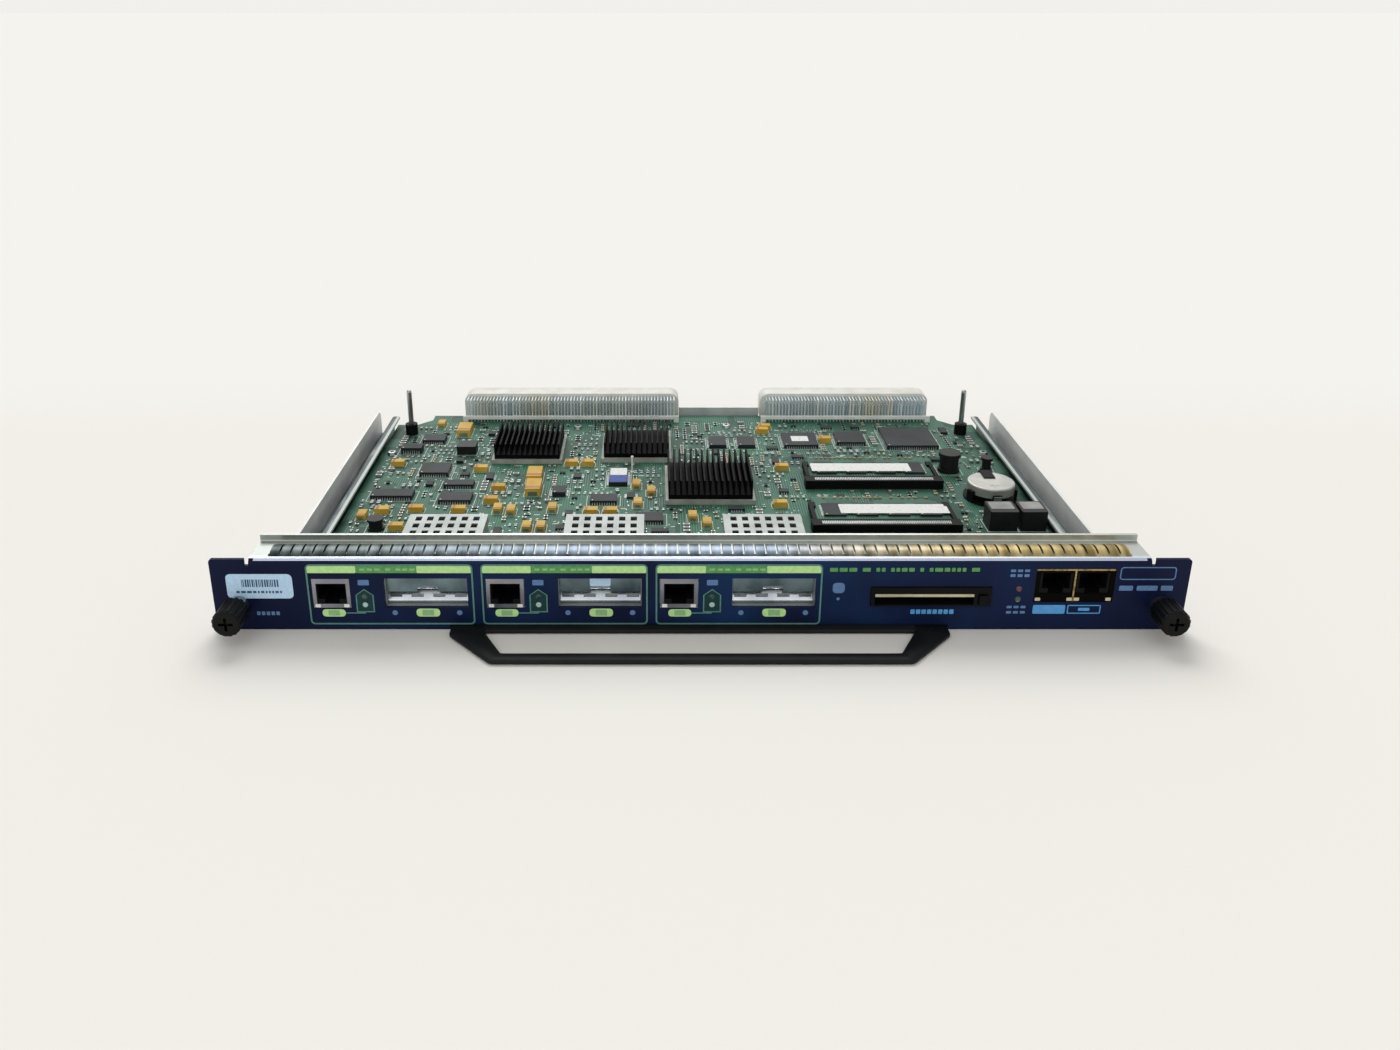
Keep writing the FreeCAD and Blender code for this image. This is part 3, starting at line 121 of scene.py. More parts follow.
def verts_of(faces):
    """The vertices of some faces, each once."""
    return list({vert for face in faces for vert in face.verts})


def rounded(bm, geom, radius, steps, affect="EDGES"):
    """Round edges, or the corners of a flat face."""
    bmesh.ops.bevel(bm, geom=geom, offset=radius, offset_type="OFFSET", segments=steps, profile=0.5,
                    affect=affect, material=-1)


def slab(bm, low, high, corner=0.0, along=Z):
    """A block between two corners, with the four edges that run along the axis rounded."""
    low = Vector(low)
    high = Vector(high)
    verts = bmesh.ops.create_cube(bm, size=1.0)["verts"]
    bmesh.ops.scale(bm, vec=high - low, verts=verts)
    bmesh.ops.translate(bm, vec=(low + high) / 2, verts=verts)
    if corner:
        edges = []
        for edge in {edge for vert in verts for edge in vert.link_edges}:
            run = edge.verts[1].co - edge.verts[0].co
            if abs(run[along]) > run.length * ALIGNED:
                edges.append(edge)
        rounded(bm, edges, corner, BLOCK_STEPS)
    return verts


def bar(bm, along, ends, sides, foot, top):
    """A block on the board, from its ends along X or Y and its sides across that."""
    low = Vector((0, 0, foot))
    high = Vector((0, 0, top))
    for axis, limits in ((along, ends), (Y - along, sides)):
        low[axis] = min(limits)
        high[axis] = max(limits)
    slab(bm, low, high)


def disc(bm, centre, radius, thick, axis=Z, steps=16):
    """A short round bar from its centre along the axis."""
    turns = {Y: Matrix.Rotation(-math.pi / 2, 4, "X"), Z: Matrix()}
    middle = Vector(centre)
    middle[axis] += thick / 2
    bmesh.ops.create_cone(bm, cap_ends=True, segments=steps, radius1=radius, radius2=radius, depth=abs(thick),
                          matrix=Matrix.Translation(middle) @ turns[axis])


def upright_sheet(bm, x0, x1, z0, z1, y, facing, columns=1, rows=1):
    """A flat sheet that stands across the module and faces front or back."""
    verts = bmesh.ops.create_grid(bm, x_segments=columns, y_segments=rows, size=0.5)["verts"]
    bmesh.ops.rotate(bm, cent=(0, 0, 0), matrix=Matrix.Rotation(facing * math.pi / 2, 3, "X"), verts=verts)
    bmesh.ops.scale(bm, vec=(x1 - x0, 1, z1 - z0), verts=verts)
    bmesh.ops.translate(bm, vec=((x0 + x1) / 2, y, (z0 + z1) / 2), verts=verts)
    return verts


def ring(bm, x0, x1, z0, z1, corner, line):
    """A printed outline with rounded corners on the panel's face."""
    others = set(bm.faces)
    rounded(bm, upright_sheet(bm, x0, x1, z0, z1, 0, FRONT), corner, RING_STEPS, "VERTICES")
    inner = [face for face in bm.faces if face not in others]
    border = bmesh.ops.inset_region(bm, faces=inner, thickness=line, use_boundary=True,
                                    use_even_offset=True)["faces"]
    bmesh.ops.delete(bm, geom=inner, context="FACES_ONLY")
    thick = bmesh.ops.extrude_face_region(bm, geom=border, use_keep_orig=True)["geom"]
    bmesh.ops.translate(bm, vec=(0, -RISE, 0), verts=only(thick, BMVert))


def house(bm, x, half, foot, eaves, peak, rise):
    """A printed field with upright sides and a gable, on the panel's face."""
    block = slab(bm, (x - half, -rise, foot), (x + half, 0, eaves))
    top = {vert for vert in block if vert.co.z > (foot + eaves) / 2}
    across = []
    for edge in {edge for vert in top for edge in vert.link_edges}:
        if set(edge.verts) <= top and edge.verts[0].co.x != edge.verts[1].co.x:
            across.append(edge)
    ridge = bmesh.ops.subdivide_edges(bm, edges=across, cuts=1)["geom_inner"]
    bmesh.ops.translate(bm, vec=(0, 0, peak - eaves), verts=only(ridge, BMVert))


def turned(bm, profile, base, axis, steps):
    """A body of revolution: profile is radius and place along the axis, from end to end."""
    across = (axis + 1) % 3
    verts = []
    for radius, place in profile:
        point = Vector(base)
        point[axis] += place
        point[across] += radius
        verts.append(bm.verts.new(point))
    edges = [bm.edges.new(pair) for pair in zip(verts, verts[1:])]
    way = Vector((0, 0, 0))
    way[axis] = 1
    bmesh.ops.spin(bm, geom=verts + edges, cent=base, axis=way, angle=2 * math.pi, steps=steps,
                   use_merge=True)
    bmesh.ops.remove_doubles(bm, verts=bm.verts, dist=SEAM)


def row(start, end, pitch):
    """Places along a line, a pitch apart."""
    place = start
    while place < end:
        yield place
        place += pitch


def drawn_bars(draw, start, end, widths, gaps):
    """Ends of bars along a line, with drawn widths and gaps; a single gap takes no draw."""
    left = start
    while left < end:
        wide = draw.choice(widths)
        yield left, left + wide
        left += wide + (draw.choice(gaps) if len(gaps) > 1 else gaps[0])


def piece(name, bm, slot, finish=None, body="module", stands_for=(), smooth=False):
    """Turn a drawn shape into an object that rides on a body, in its slot's finish or in one of its own."""
    bmesh.ops.recalc_face_normals(bm, faces=bm.faces)
    bmesh.ops.scale(bm, vec=(MM, MM, MM), verts=bm.verts)
    bmesh.ops.translate(bm, vec=(0, FACE_Y, 0), verts=bm.verts)
    mesh = bpy.data.meshes.new(name)
    bm.to_mesh(mesh)
    bm.free()
    mesh.materials.append(finish or FINISHES[slot])
    if smooth:
        mesh.shade_smooth()
        mesh.set_sharp_from_angle(angle=SHARP)
    made = bpy.data.objects.new(name, mesh)
    bpy.context.scene.collection.objects.link(made)
    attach(made, body)
    if stands_for:
        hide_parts(*stands_for)


# Material tools

FACTOR, FIRST, SECOND = 0, 6, 7     # inputs of a colour mix


def linear(code):
    """An sRGB hex colour as a linear one."""
    channels = [int(code[place:place + 2], 16) / 255 for place in (1, 3, 5)]
    curve = [value / 12.92 if value <= 0.04045 else ((value + 0.055) / 1.055) ** 2.4 for value in channels]
    return (*curve, 1.0)


def per(size):
    """Texture scale for a feature of that size in millimetres."""
    return 1 / (size * MM)


def feed(tree, made, inputs):
    """Give a node its inputs; another node gives the first output that it has in use."""
    for socket, value in inputs.items():
        if isinstance(value, bpy.types.Node):
            value = next(output for output in value.outputs if output.enabled)
        if isinstance(value, bpy.types.NodeSocket):
            tree.links.new(value, made.inputs[socket])
        else:
            made.inputs[socket].default_value = linear(value) if isinstance(value, str) else value


def add(tree, kind, inputs, **settings):
    """Add a shader node with its settings and links."""
    made = tree.nodes.new("ShaderNode" + kind)
    for name, value in settings.items():
        setattr(made, name, value)
    feed(tree, made, inputs)
    return made


def surface(name, constants):
    """A new material with its node tree, its shader and the object's own coordinates."""
    made = bpy.data.materials.new(name)
    made.use_nodes = True
    tree = made.node_tree
    shader = tree.nodes["Principled BSDF"]
    feed(tree, shader, constants)
    place = add(tree, "TexCoord", {}).outputs["Object"]
    return made, tree, shader, place


# Finishes; noise seldom leaves the range that is stretched over its two tones

WIDE = {"From Min": 0.3, "From Max": 0.7}
NARROW = {"From Min": 0.35, "From Max": 0.65}
HANDLED = 14.0          # size of the clouds that handling leaves on plating
INK_PATCH = 1.6
ROLLED = (1.0, 0.12, 1.0)       # marks drawn out from front to back
BRUSHED = (0.2, 1.0, 1.0)       # marks drawn out from side to side


def moulded(name, colour, shade, rough, grit, gloss=0.5, patch=9.0):
    """Moulded plastic: an even colour, dulled by the fine grit of the mould."""
    made, tree, shader, place = surface(name, {"IOR": 1.5, "Specular IOR Level": gloss})
    grain = add(tree, "TexNoise", {"Vector": place, "Scale": per(grit), "Detail": 3.0})
    cloud = add(tree, "TexNoise", {"Vector": place, "Scale": per(patch), "Detail": 2.0})
    spread = add(tree, "MapRange", {"Value": cloud, **WIDE})
    tone = add(tree, "Mix", {FACTOR: spread, FIRST: shade, SECOND: colour}, data_type="RGBA")
    dulled = add(tree, "MapRange", {"Value": grain, "To Min": rough - 0.08, "To Max": rough + 0.08})
    bump = add(tree, "Bump", {"Height": grain, "Strength": 0.25, "Distance": 0.05 * MM})
    feed(tree, shader, {"Base Color": tone, "Roughness": dulled, "Normal": bump})
    return made


def plated(name, colour, shade, rough, grain, stretch=(1.0, 1.0, 1.0), metal=1.0, gloss=0.5):
    """Plated metal: bright, clouded by handling, with rolling marks drawn out along the stretch."""
    made, tree, shader, place = surface(name, {"Metallic": metal, "Specular IOR Level": gloss})
    drawn = add(tree, "Mapping", {"Vector": place, "Scale": stretch})
    marks = add(tree, "TexNoise", {"Vector": drawn, "Scale": per(grain), "Detail": 4.0})
    cloud = add(tree, "TexNoise", {"Vector": place, "Scale": per(HANDLED), "Detail": 3.0})
    spread = add(tree, "MapRange", {"Value": cloud, **WIDE})
    tone = add(tree, "Mix", {FACTOR: spread, FIRST: shade, SECOND: colour}, data_type="RGBA")
    dulled = add(tree, "MapRange", {"Value": marks, "To Min": rough - 0.1, "To Max": rough + 0.12})
    bump = add(tree, "Bump", {"Height": marks, "Strength": 0.12, "Distance": 0.04 * MM})
    feed(tree, shader, {"Base Color": tone, "Roughness": dulled, "Normal": bump})
    return made


def printed(name, colour, shade):
    """Screen-printed ink: flat and satin, a little uneven where it went on thin."""
    made, tree, shader, place = surface(name, {"Roughness": 0.5, "Specular IOR Level": 0.2})
    thin = add(tree, "TexNoise", {"Vector": place, "Scale": per(INK_PATCH), "Detail": 4.0})
    spread = add(tree, "MapRange", {"Value": thin, **NARROW})
    tone = add(tree, "Mix", {FACTOR: spread, FIRST: shade, SECOND: colour}, data_type="RGBA")
    feed(tree, shader, {"Base Color": tone})
    return made


PAINT_EAR = 191.0       # the ears are painted to the top beyond this distance from the middle
PAINT_TOP = 33.1        # elsewhere the paint stops where the fold begins
PAINT_DEPTH = 1.55      # the paint runs back through the cut-outs this far
PAINT_LIT_TO = 60.0      # painted light makes the paint bluest up to this distance from the middle
PAINT_SHADED_FROM = 180.0      # and painted shade makes it darkest from this one on
PAINT_PATCH = 60.0
PAINT_PEEL = 0.7
FOLD_HIGHLIGHT_TO = 2.6         # a painted highlight brightens the fold's front edge this far back
FOLD_HIGHLIGHT_END = 3.6


def painted_panel():
    """Navy polyester paint on zinc-plated sheet: matt in front, bluer in the middle and darker at the ends as
    painted light and shade; dull bare metal behind, with a painted highlight on the fold.
    """
    made, tree, shader, place = surface("navy_polyester_paint", {"Specular IOR Level": 0.1})
    axes = add(tree, "SeparateXYZ", {"Vector": place}).outputs
    side = add(tree, "Math", {0: axes["X"]}, operation="ABSOLUTE")
    ear = add(tree, "Math", {0: side, 1: PAINT_EAR * MM}, operation="GREATER_THAN")
    low = add(tree, "Math", {0: axes["Z"], 1: PAINT_TOP * MM}, operation="LESS_THAN")
    face = add(tree, "Math", {0: axes["Y"], 1: FACE_Y + PAINT_DEPTH * MM}, operation="LESS_THAN")
    area = add(tree, "Math", {0: ear, 1: low}, operation="MAXIMUM")
    paint = add(tree, "Math", {0: area, 1: face}, operation="MULTIPLY")
    cloud = add(tree, "TexNoise", {"Vector": place, "Scale": per(PAINT_PATCH), "Detail": 3.0})
    peel = add(tree, "TexNoise", {"Vector": place, "Scale": per(PAINT_PEEL), "Detail": 2.0})
    spread = add(tree, "MapRange", {"Value": cloud, **NARROW})
    # painted light and shade: the navy turns bluer towards the middle and darker towards the ends
    middle = add(tree, "MapRange", {"Value": side, "From Min": PAINT_SHADED_FROM * MM, "From Max": PAINT_LIT_TO * MM,
                                    "To Min": 0.1})
    painted_light = add(tree, "Math", {0: spread, 1: middle}, operation="MULTIPLY")
    navy = add(tree, "Mix", {FACTOR: painted_light, FIRST: "#0D1534", SECOND: "#132E55"}, data_type="RGBA")
    dull = add(tree, "Mix", {FACTOR: spread, FIRST: "#AEB3AE", SECOND: "#CCD0CA"}, data_type="RGBA")
    # painted highlight: a pale bluish white along the fold's front edge
    wear_and_painted_highlight = add(tree, "MapRange", {"Value": axes["Y"], "From Min": FACE_Y + FOLD_HIGHLIGHT_END * MM,
                                    "From Max": FACE_Y + FOLD_HIGHLIGHT_TO * MM})
    zinc = add(tree, "Mix", {FACTOR: wear_and_painted_highlight, FIRST: dull, SECOND: "#D4DDF0"}, data_type="RGBA")
    tone = add(tree, "Mix", {FACTOR: paint, FIRST: zinc, SECOND: navy}, data_type="RGBA")
    bare = add(tree, "Math", {0: 1.0, 1: paint}, operation="SUBTRACT")
    dulled = add(tree, "MapRange", {"Value": peel, "To Min": 0.34, "To Max": 0.48})
    bump = add(tree, "Bump", {"Height": peel, "Strength": 0.1, "Distance": 0.03 * MM})
    feed(tree, shader, {"Base Color": tone, "Metallic": bare, "Roughness": dulled, "Normal": bump})
    return made


HIGHLIGHT_FROM = -150.0    # a painted highlight brightens the plating from here to the middle
HIGHLIGHT_TO = -40.0
WORN_FROM = 30.0        # the plating is worn to the copper from here to the right end
WORN_TO = 130.0
FINGER_PATCH = 5.0
FINGER_TONES = (        # dull, under the painted highlight, and worn, of the darker and the paler fingers
    ("#363E3D", "#525D67", "#978452"),
    ("#5F6968", "#828D9A", "#D6C18C"),
)


def spring_strip():
    """Plated beryllium copper: dull grey at the left, a painted highlight in the middle, worn to gold at the
    right.
    """
    made, tree, shader, place = surface("plated_beryllium_copper", {"Metallic": 1.0})
    across = add(tree, "SeparateXYZ", {"Vector": place}).outputs["X"]
    # painted highlight across the middle of the strip
    painted_highlight = add(tree, "MapRange",
                 {"Value": across, "From Min": HIGHLIGHT_FROM * MM, "From Max": HIGHLIGHT_TO * MM})
    wear_and_painted_shade = add(tree, "MapRange", {"Value": across, "From Min": WORN_FROM * MM, "From Max": WORN_TO * MM})
    finger = add(tree, "TexNoise", {"W": across, "Scale": per(FINGER_PATCH), "Detail": 2.0},
                 noise_dimensions="1D")
    spread = add(tree, "MapRange", {"Value": finger, **WIDE})
    tones = []
    for dull, highlight_tone, gilt in FINGER_TONES:
        plain = add(tree, "Mix", {FACTOR: painted_highlight, FIRST: dull, SECOND: highlight_tone}, data_type="RGBA")
        tones.append(add(tree, "Mix", {FACTOR: wear_and_painted_shade, FIRST: plain, SECOND: gilt}, data_type="RGBA"))
    tone = add(tree, "Mix", {FACTOR: spread, FIRST: tones[0], SECOND: tones[1]}, data_type="RGBA")
    dulled = add(tree, "MapRange", {"Value": finger, "To Min": 0.24, "To Max": 0.44})
    feed(tree, shader, {"Base Color": tone, "Roughness": dulled})
    return made


PIN_GLINT = 3.0        # painted highlights and shade streak the pins in groups this wide
PIN_TINT = 26.0


def contact_pins():
    """Tinned pins, flashed with gold: painted highlights and shade in streaks from row to row, warm in places.
    """
    made, tree, shader, place = surface("tinned_contact_pins", {"Metallic": 0.2, "Roughness": 0.36})
    across = add(tree, "SeparateXYZ", {"Vector": place}).outputs["X"]
    # painted highlights and shade: pale and dark streaks from one group of pins to the next
    painted_glints = add(tree, "TexNoise", {"W": across, "Scale": per(PIN_GLINT), "Detail": 3.0},
                 noise_dimensions="1D")
    spread = add(tree, "MapRange", {"Value": painted_glints, "From Min": 0.3, "From Max": 0.65})
    tint = add(tree, "TexNoise", {"W": across, "Scale": per(PIN_TINT), "Detail": 1.0}, noise_dimensions="1D")
    warm = add(tree, "MapRange", {"Value": tint, "From Min": 0.45, "From Max": 0.65})
    light = add(tree, "Mix", {FACTOR: warm, FIRST: "#E9F5FC", SECOND: "#EDE3C2"}, data_type="RGBA")
    tone = add(tree, "Mix", {FACTOR: spread, FIRST: "#93B2BF", SECOND: light}, data_type="RGBA")
    feed(tree, shader, {"Base Color": tone})
    return made


TRACK_PITCH = 1.3       # real tracks are three times as fine, too fine to show
TRACK_SHARE = 0.45      # of each pitch, this much is copper
TRACK_FIELD = 13.0      # tracks change their direction from field to field
TRACK_TURN = 0.5        # in this share of the fields they run across
TRACK_FREE = 0.3        # this share of the fields has none
MASK_PATCH = 24.0


def solder_mask():
    """Green solder mask on glass epoxy: satin, with the copper tracks under it as paler lines in patches."""
    made, tree, shader, place = surface("green_solder_mask",
                                        {"Roughness": 0.5, "IOR": 1.5, "Specular IOR Level": 0.2})
    cells = add(tree, "TexVoronoi", {"Vector": place, "Scale": per(TRACK_FIELD)}, distance="CHEBYCHEV")
    pick = add(tree, "SeparateColor", {"Color": cells.outputs["Color"]}).outputs
    axes = add(tree, "SeparateXYZ", {"Vector": place}).outputs
    lines = []
    for axis in ("X", "Y"):
        count = add(tree, "Math", {0: axes[axis], 1: per(TRACK_PITCH)}, operation="MULTIPLY")
        saw = add(tree, "Math", {0: count}, operation="FRACT")
        lines.append(add(tree, "Math", {0: saw, 1: TRACK_SHARE}, operation="LESS_THAN"))
    turn = add(tree, "Math", {0: pick["Red"], 1: TRACK_TURN}, operation="GREATER_THAN")
    track = add(tree, "Mix", {"Factor": turn, "A": lines[0], "B": lines[1]}, data_type="FLOAT")
    routed = add(tree, "Math", {0: pick["Green"], 1: TRACK_FREE}, operation="GREATER_THAN")
    shown = add(tree, "Math", {0: track, 1: routed}, operation="MULTIPLY")
    cloud = add(tree, "TexNoise", {"Vector": place, "Scale": per(MASK_PATCH), "Detail": 4.0})
    spread = add(tree, "MapRange", {"Value": cloud, **NARROW})
    base = add(tree, "Mix", {FACTOR: spread, FIRST: "#1F483A", SECOND: "#336350"}, data_type="RGBA")
    copper = add(tree, "Mix", {FACTOR: spread, FIRST: "#577D6F", SECOND: "#458267"}, data_type="RGBA")
    tone = add(tree, "Mix", {FACTOR: shown, FIRST: base, SECOND: copper}, data_type="RGBA")
    bump = add(tree, "Bump", {"Height": shown, "Strength": 0.2, "Distance": 0.03 * MM})
    feed(tree, shader, {"Base Color": tone, "Normal": bump})
    return made


RED_PIPE_X = 100.0      # the status pipes stand right of this
RED_PIPE_Z = 17.5       # and the red one above this
PALE_PIPE_Z = 14.0      # the lower pipe of each port stands below this
LENS_HAZE = 1.2


def clear_lens():
    """Clear acrylic light pipes: dark green above, milky in the lower ones, red in the upper status one."""
    made, tree, shader, place = surface("clear_acrylic", {"Roughness": 0.08, "IOR": 1.49})
    axes = add(tree, "SeparateXYZ", {"Vector": place}).outputs
    far = add(tree, "Math", {0: axes["X"], 1: RED_PIPE_X * MM}, operation="GREATER_THAN")
    high = add(tree, "Math", {0: axes["Z"], 1: RED_PIPE_Z * MM}, operation="GREATER_THAN")
    red = add(tree, "Math", {0: far, 1: high}, operation="MULTIPLY")
    pale = add(tree, "Math", {0: axes["Z"], 1: PALE_PIPE_Z * MM}, operation="LESS_THAN")
    green = add(tree, "Mix", {FACTOR: pale, FIRST: "#1F3A3A", SECOND: "#A9C8BE"}, data_type="RGBA")
    tone = add(tree, "Mix", {FACTOR: red, FIRST: green, SECOND: "#5C232B"}, data_type="RGBA")
    haze = add(tree, "TexNoise", {"Vector": place, "Scale": per(LENS_HAZE), "Detail": 2.0})
    cloud = add(tree, "MapRange", {"Value": haze, "From Min": 0.35, "From Max": 0.7, "To Max": 0.12})
    milky = add(tree, "Mix", {FACTOR: cloud, FIRST: tone, SECOND: "#C9D6D0"}, data_type="RGBA")
    feed(tree, shader, {"Base Color": milky})
    return made


GILT_TOP = 0.7          # bare brass shows this far down the console shield's face
GILT_DIVIDER = 0.35     # and this far each side of its middle
GILT_DEPTH = 1.0
BRASS_WEAR = 1.8


def console_brass():
    """Blackened brass sheet: dark all over, rubbed to bright metal at the top edge and the divider."""
    made, tree, shader, place = surface("blackened_brass_sheet", {"Metallic": 1.0})
    axes = add(tree, "SeparateXYZ", {"Vector": place}).outputs
    top = add(tree, "Math", {0: axes["Z"], 1: (CONSOLE_HIGH.z - GILT_TOP) * MM}, operation="GREATER_THAN")
    middle = add(tree, "Math", {0: axes["X"], 1: CONSOLE_X * MM, 2: GILT_DIVIDER * MM}, operation="COMPARE")
    either = add(tree, "Math", {0: top, 1: middle}, operation="MAXIMUM")
    front = add(tree, "Math", {0: axes["Y"], 1: FACE_Y + GILT_DEPTH * MM}, operation="LESS_THAN")
    wear_and_painted_highlight = add(tree, "Math", {0: either, 1: front}, operation="MULTIPLY")
    wear = add(tree, "TexNoise", {"Vector": place, "Scale": per(BRASS_WEAR), "Detail": 3.0})
    spread = add(tree, "MapRange", {"Value": wear, "From Min": 0.3, "From Max": 0.6, "To Min": 0.35})
    shown = add(tree, "Math", {0: wear_and_painted_highlight, 1: spread}, operation="MULTIPLY")
    tone = add(tree, "Mix", {FACTOR: shown, FIRST: "#100F0C", SECOND: "#BCA46C"}, data_type="RGBA")
    dulled = add(tree, "MapRange", {"Value": wear, "To Min": 0.3, "To Max": 0.5})
    feed(tree, shader, {"Base Color": tone, "Roughness": dulled})
    return made


RAIL_LIP_CLEAR = 177.6     # each rail's lip is clear of painted shade up to this distance from the middle
RAIL_LIP_SHADED = 178.0      # and in full painted shade from here to its end
RAIL_LIP_END = 181.3
RAIL_WALL = 188.7       # beyond this is the rail's outer face
RAIL_SHADE_FADE = (4.6, 7.0)  # heights in the channel between which the painted shade fades out
RAIL_SCRATCH = 4.0


def channel_zinc():
    """Zinc-plated rail, pale, with painted shade behind its lip and down in its channel, broken by paler
    scratch streaks, and a darker grey-green on its lip as painted shade.
    """
    made, tree, shader, place = surface("zinc_plated_rail", {"Metallic": 0.15})
    axes = add(tree, "SeparateXYZ", {"Vector": place}).outputs
    side = add(tree, "Math", {0: axes["X"]}, operation="ABSOLUTE")
    inside = add(tree, "Math", {0: side, 1: RAIL_WALL * MM}, operation="LESS_THAN")
    # painted shade down in the channel, darkest towards its floor
    deep = add(tree, "MapRange",
               {"Value": axes["Z"], "From Min": RAIL_SHADE_FADE[1] * MM, "From Max": RAIL_SHADE_FADE[0] * MM})
    channel = add(tree, "Math", {0: inside, 1: deep}, operation="MULTIPLY")
    # painted shade on the outer part of the lip
    behind = add(tree, "MapRange", {"Value": side, "From Min": RAIL_LIP_CLEAR * MM, "From Max": RAIL_LIP_SHADED * MM})
    before = add(tree, "Math", {0: side, 1: RAIL_LIP_END * MM}, operation="LESS_THAN")
    groove = add(tree, "Math", {0: behind, 1: before}, operation="MULTIPLY")
    painted_shade = add(tree, "Math", {0: channel, 1: groove}, operation="MAXIMUM")
    drawn = add(tree, "Mapping", {"Vector": place, "Scale": ROLLED})
    scratch = add(tree, "TexNoise", {"Vector": drawn, "Scale": per(RAIL_SCRATCH), "Detail": 3.0})
    # the scratches break the painted shade into paler streaks
    kept = add(tree, "MapRange",
               {"Value": scratch, "From Min": 0.5, "From Max": 0.72, "To Min": 1.0, "To Max": 0.3})
    shown = add(tree, "Math", {0: painted_shade, 1: kept}, operation="MULTIPLY")
    cloud = add(tree, "TexNoise", {"Vector": place, "Scale": per(HANDLED), "Detail": 3.0})
    spread = add(tree, "MapRange", {"Value": cloud, **WIDE})
    zinc = add(tree, "Mix", {FACTOR: spread, FIRST: "#D6DAD8", SECOND: "#EBEDEB"}, data_type="RGBA")
    # painted shade: the lip and the wall below it take a darker grey-green
    wear_and_painted_shade = add(tree, "Mix", {FACTOR: before, FIRST: zinc, SECOND: "#B2BDB7"}, data_type="RGBA")
    # the painted shade itself is a dark blue-grey
    tone = add(tree, "Mix", {FACTOR: shown, FIRST: wear_and_painted_shade, SECOND: "#38434B"}, data_type="RGBA")
    dulled = add(tree, "MapRange", {"Value": scratch, "To Min": 0.36, "To Max": 0.58})
    bump = add(tree, "Bump", {"Height": scratch, "Strength": 0.12, "Distance": 0.04 * MM})
    feed(tree, shader, {"Base Color": tone, "Roughness": dulled, "Normal": bump})
    return made


PRINT_LENGTH = 2.2
PRINT_PITCH = 1.3


def label_paper():
    """Matt label paper with rows of faint grey print, drawn as plain bars of uneven length."""
    made, tree, shader, place = surface("white_label_paper", {"Roughness": 0.6})
    lines = add(tree, "Mapping",
                {"Vector": place, "Scale": (per(PRINT_LENGTH), per(PRINT_PITCH), per(PRINT_PITCH))})
    cells = add(tree, "TexNoise", {"Vector": lines, "Scale": 1.0, "Detail": 1.0})
    dark = add(tree, "MapRange", {"Value": cells, "From Min": 0.5, "From Max": 0.7, "To Max": 0.35})
    tone = add(tree, "Mix", {FACTOR: dark, FIRST: "#E4E5E2", SECOND: "#A6A9A8"}, data_type="RGBA")
    feed(tree, shader, {"Base Color": tone})
    return made


# One finish for each slot of the record, then the finishes that single pieces have instead
FINISHES = {
    "panel_paint": painted_panel(),
    "zinc_steel": plated("zinc_plated_sheet_steel", "#D6DADA", "#B7BDBE", 0.46, 0.6, ROLLED, metal=0.3),
    "spring_metal": spring_strip(),
    "handle_black": moulded("black_powder_coat", "#17181B", "#0F1012", 0.5, 0.5, gloss=0.2),
    "screw_steel": plated("zinc_plated_screw_steel", "#B9BCBD", "#84898C", 0.3, 0.4),
    "knob_black": moulded("moulded_black_nylon", "#0F0F10", "#090909", 0.5, 0.35, gloss=0.15),
    "board_green": solder_mask(),
    "jack_metal": plated("tin_plated_bronze_sheet", "#A3A4AE", "#74767F", 0.32, 0.5),
    "black_plastic": moulded("moulded_black_polyester", "#0E0F11", "#08090A", 0.55, 0.3, gloss=0.12),
    "cage_metal": plated("nickel_plated_sheet", "#A8AEAC", "#8E9492", 0.46, 0.5, metal=0.5),
    "flap_metal": plated("dull_nickel_sheet", "#7F9298", "#4C5C61", 0.3, 0.5, (0.15, 1.0, 1.0)),
    "clear_lens": clear_lens(),
    "sink_black": plated("black_anodised_aluminium", "#0D0D0F", "#070708", 0.55, 0.4, (1.0, 0.15, 1.0),
                         metal=0.0, gloss=0.06),
    "package_grey": moulded("grey_ceramic_package", "#B4B7AF", "#92958D", 0.5, 0.3),
    "chip_black": moulded("moulded_chip_epoxy", "#2B3033", "#1B1F22", 0.5, 0.25, gloss=0.2, patch=16.0),
    "tantalum_yellow": moulded("yellow_tantalum_case", "#D9B44C", "#C09730", 0.5, 0.3, gloss=0.2, patch=16.0),
    "ferrite_black": moulded("coated_ferrite", "#1A1A1C", "#0E0E0F", 0.5, 0.4, gloss=0.3),
    "cell_steel": plated("nickel_plated_cell_can", "#C3C3BE", "#A09F9A", 0.42, 0.3, (0.1, 1.0, 1.0),
                         metal=0.7),
    "connector_beige": moulded("beige_glass_filled_polyester", "#E3E2DC", "#D0CFC8", 0.5, 0.35),
    "pin_gold": contact_pins(),
    "comb_white": moulded("white_moulded_nylon", "#EEF0EC", "#DDE0DB", 0.5, 0.4),
}
LEAF = plated("tin_plated_guide_leaf", "#DCD3B4", "#B9AF8F", 0.3, 0.4, BRUSHED, metal=0.5)
GOLD = plated("gold_plated_contacts", "#DDC68E", "#B39A60", 0.25, 0.4)
BRASS = console_brass()
RAIL = channel_zinc()
SILL = plated("bright_nickel_spring", "#DDE3E8", "#B4BEC6", 0.24, 0.4, BRUSHED)
SOLDER = plated("bright_solder", "#CDD1D0", "#A4ABAB", 0.34, 0.3)
INK_GREEN = printed("pale_green_ink", "#BEE99C", "#B2DD90")
INK_LEAF = printed("leaf_green_ink", "#5FA058", "#53924F")
INK_PILL = printed("soft_green_ink", "#93C088", "#88B480")
INK_TEAL = printed("teal_outline_ink", "#5B8C80", "#528175")
INK_POOL = printed("deep_teal_ink", "#173B3D", "#143537")
INK_BLUE = printed("light_blue_ink", "#5AA2DE", "#5098D4")
INK_SLATE = printed("slate_blue_ink", "#5F82AE", "#5778A3")
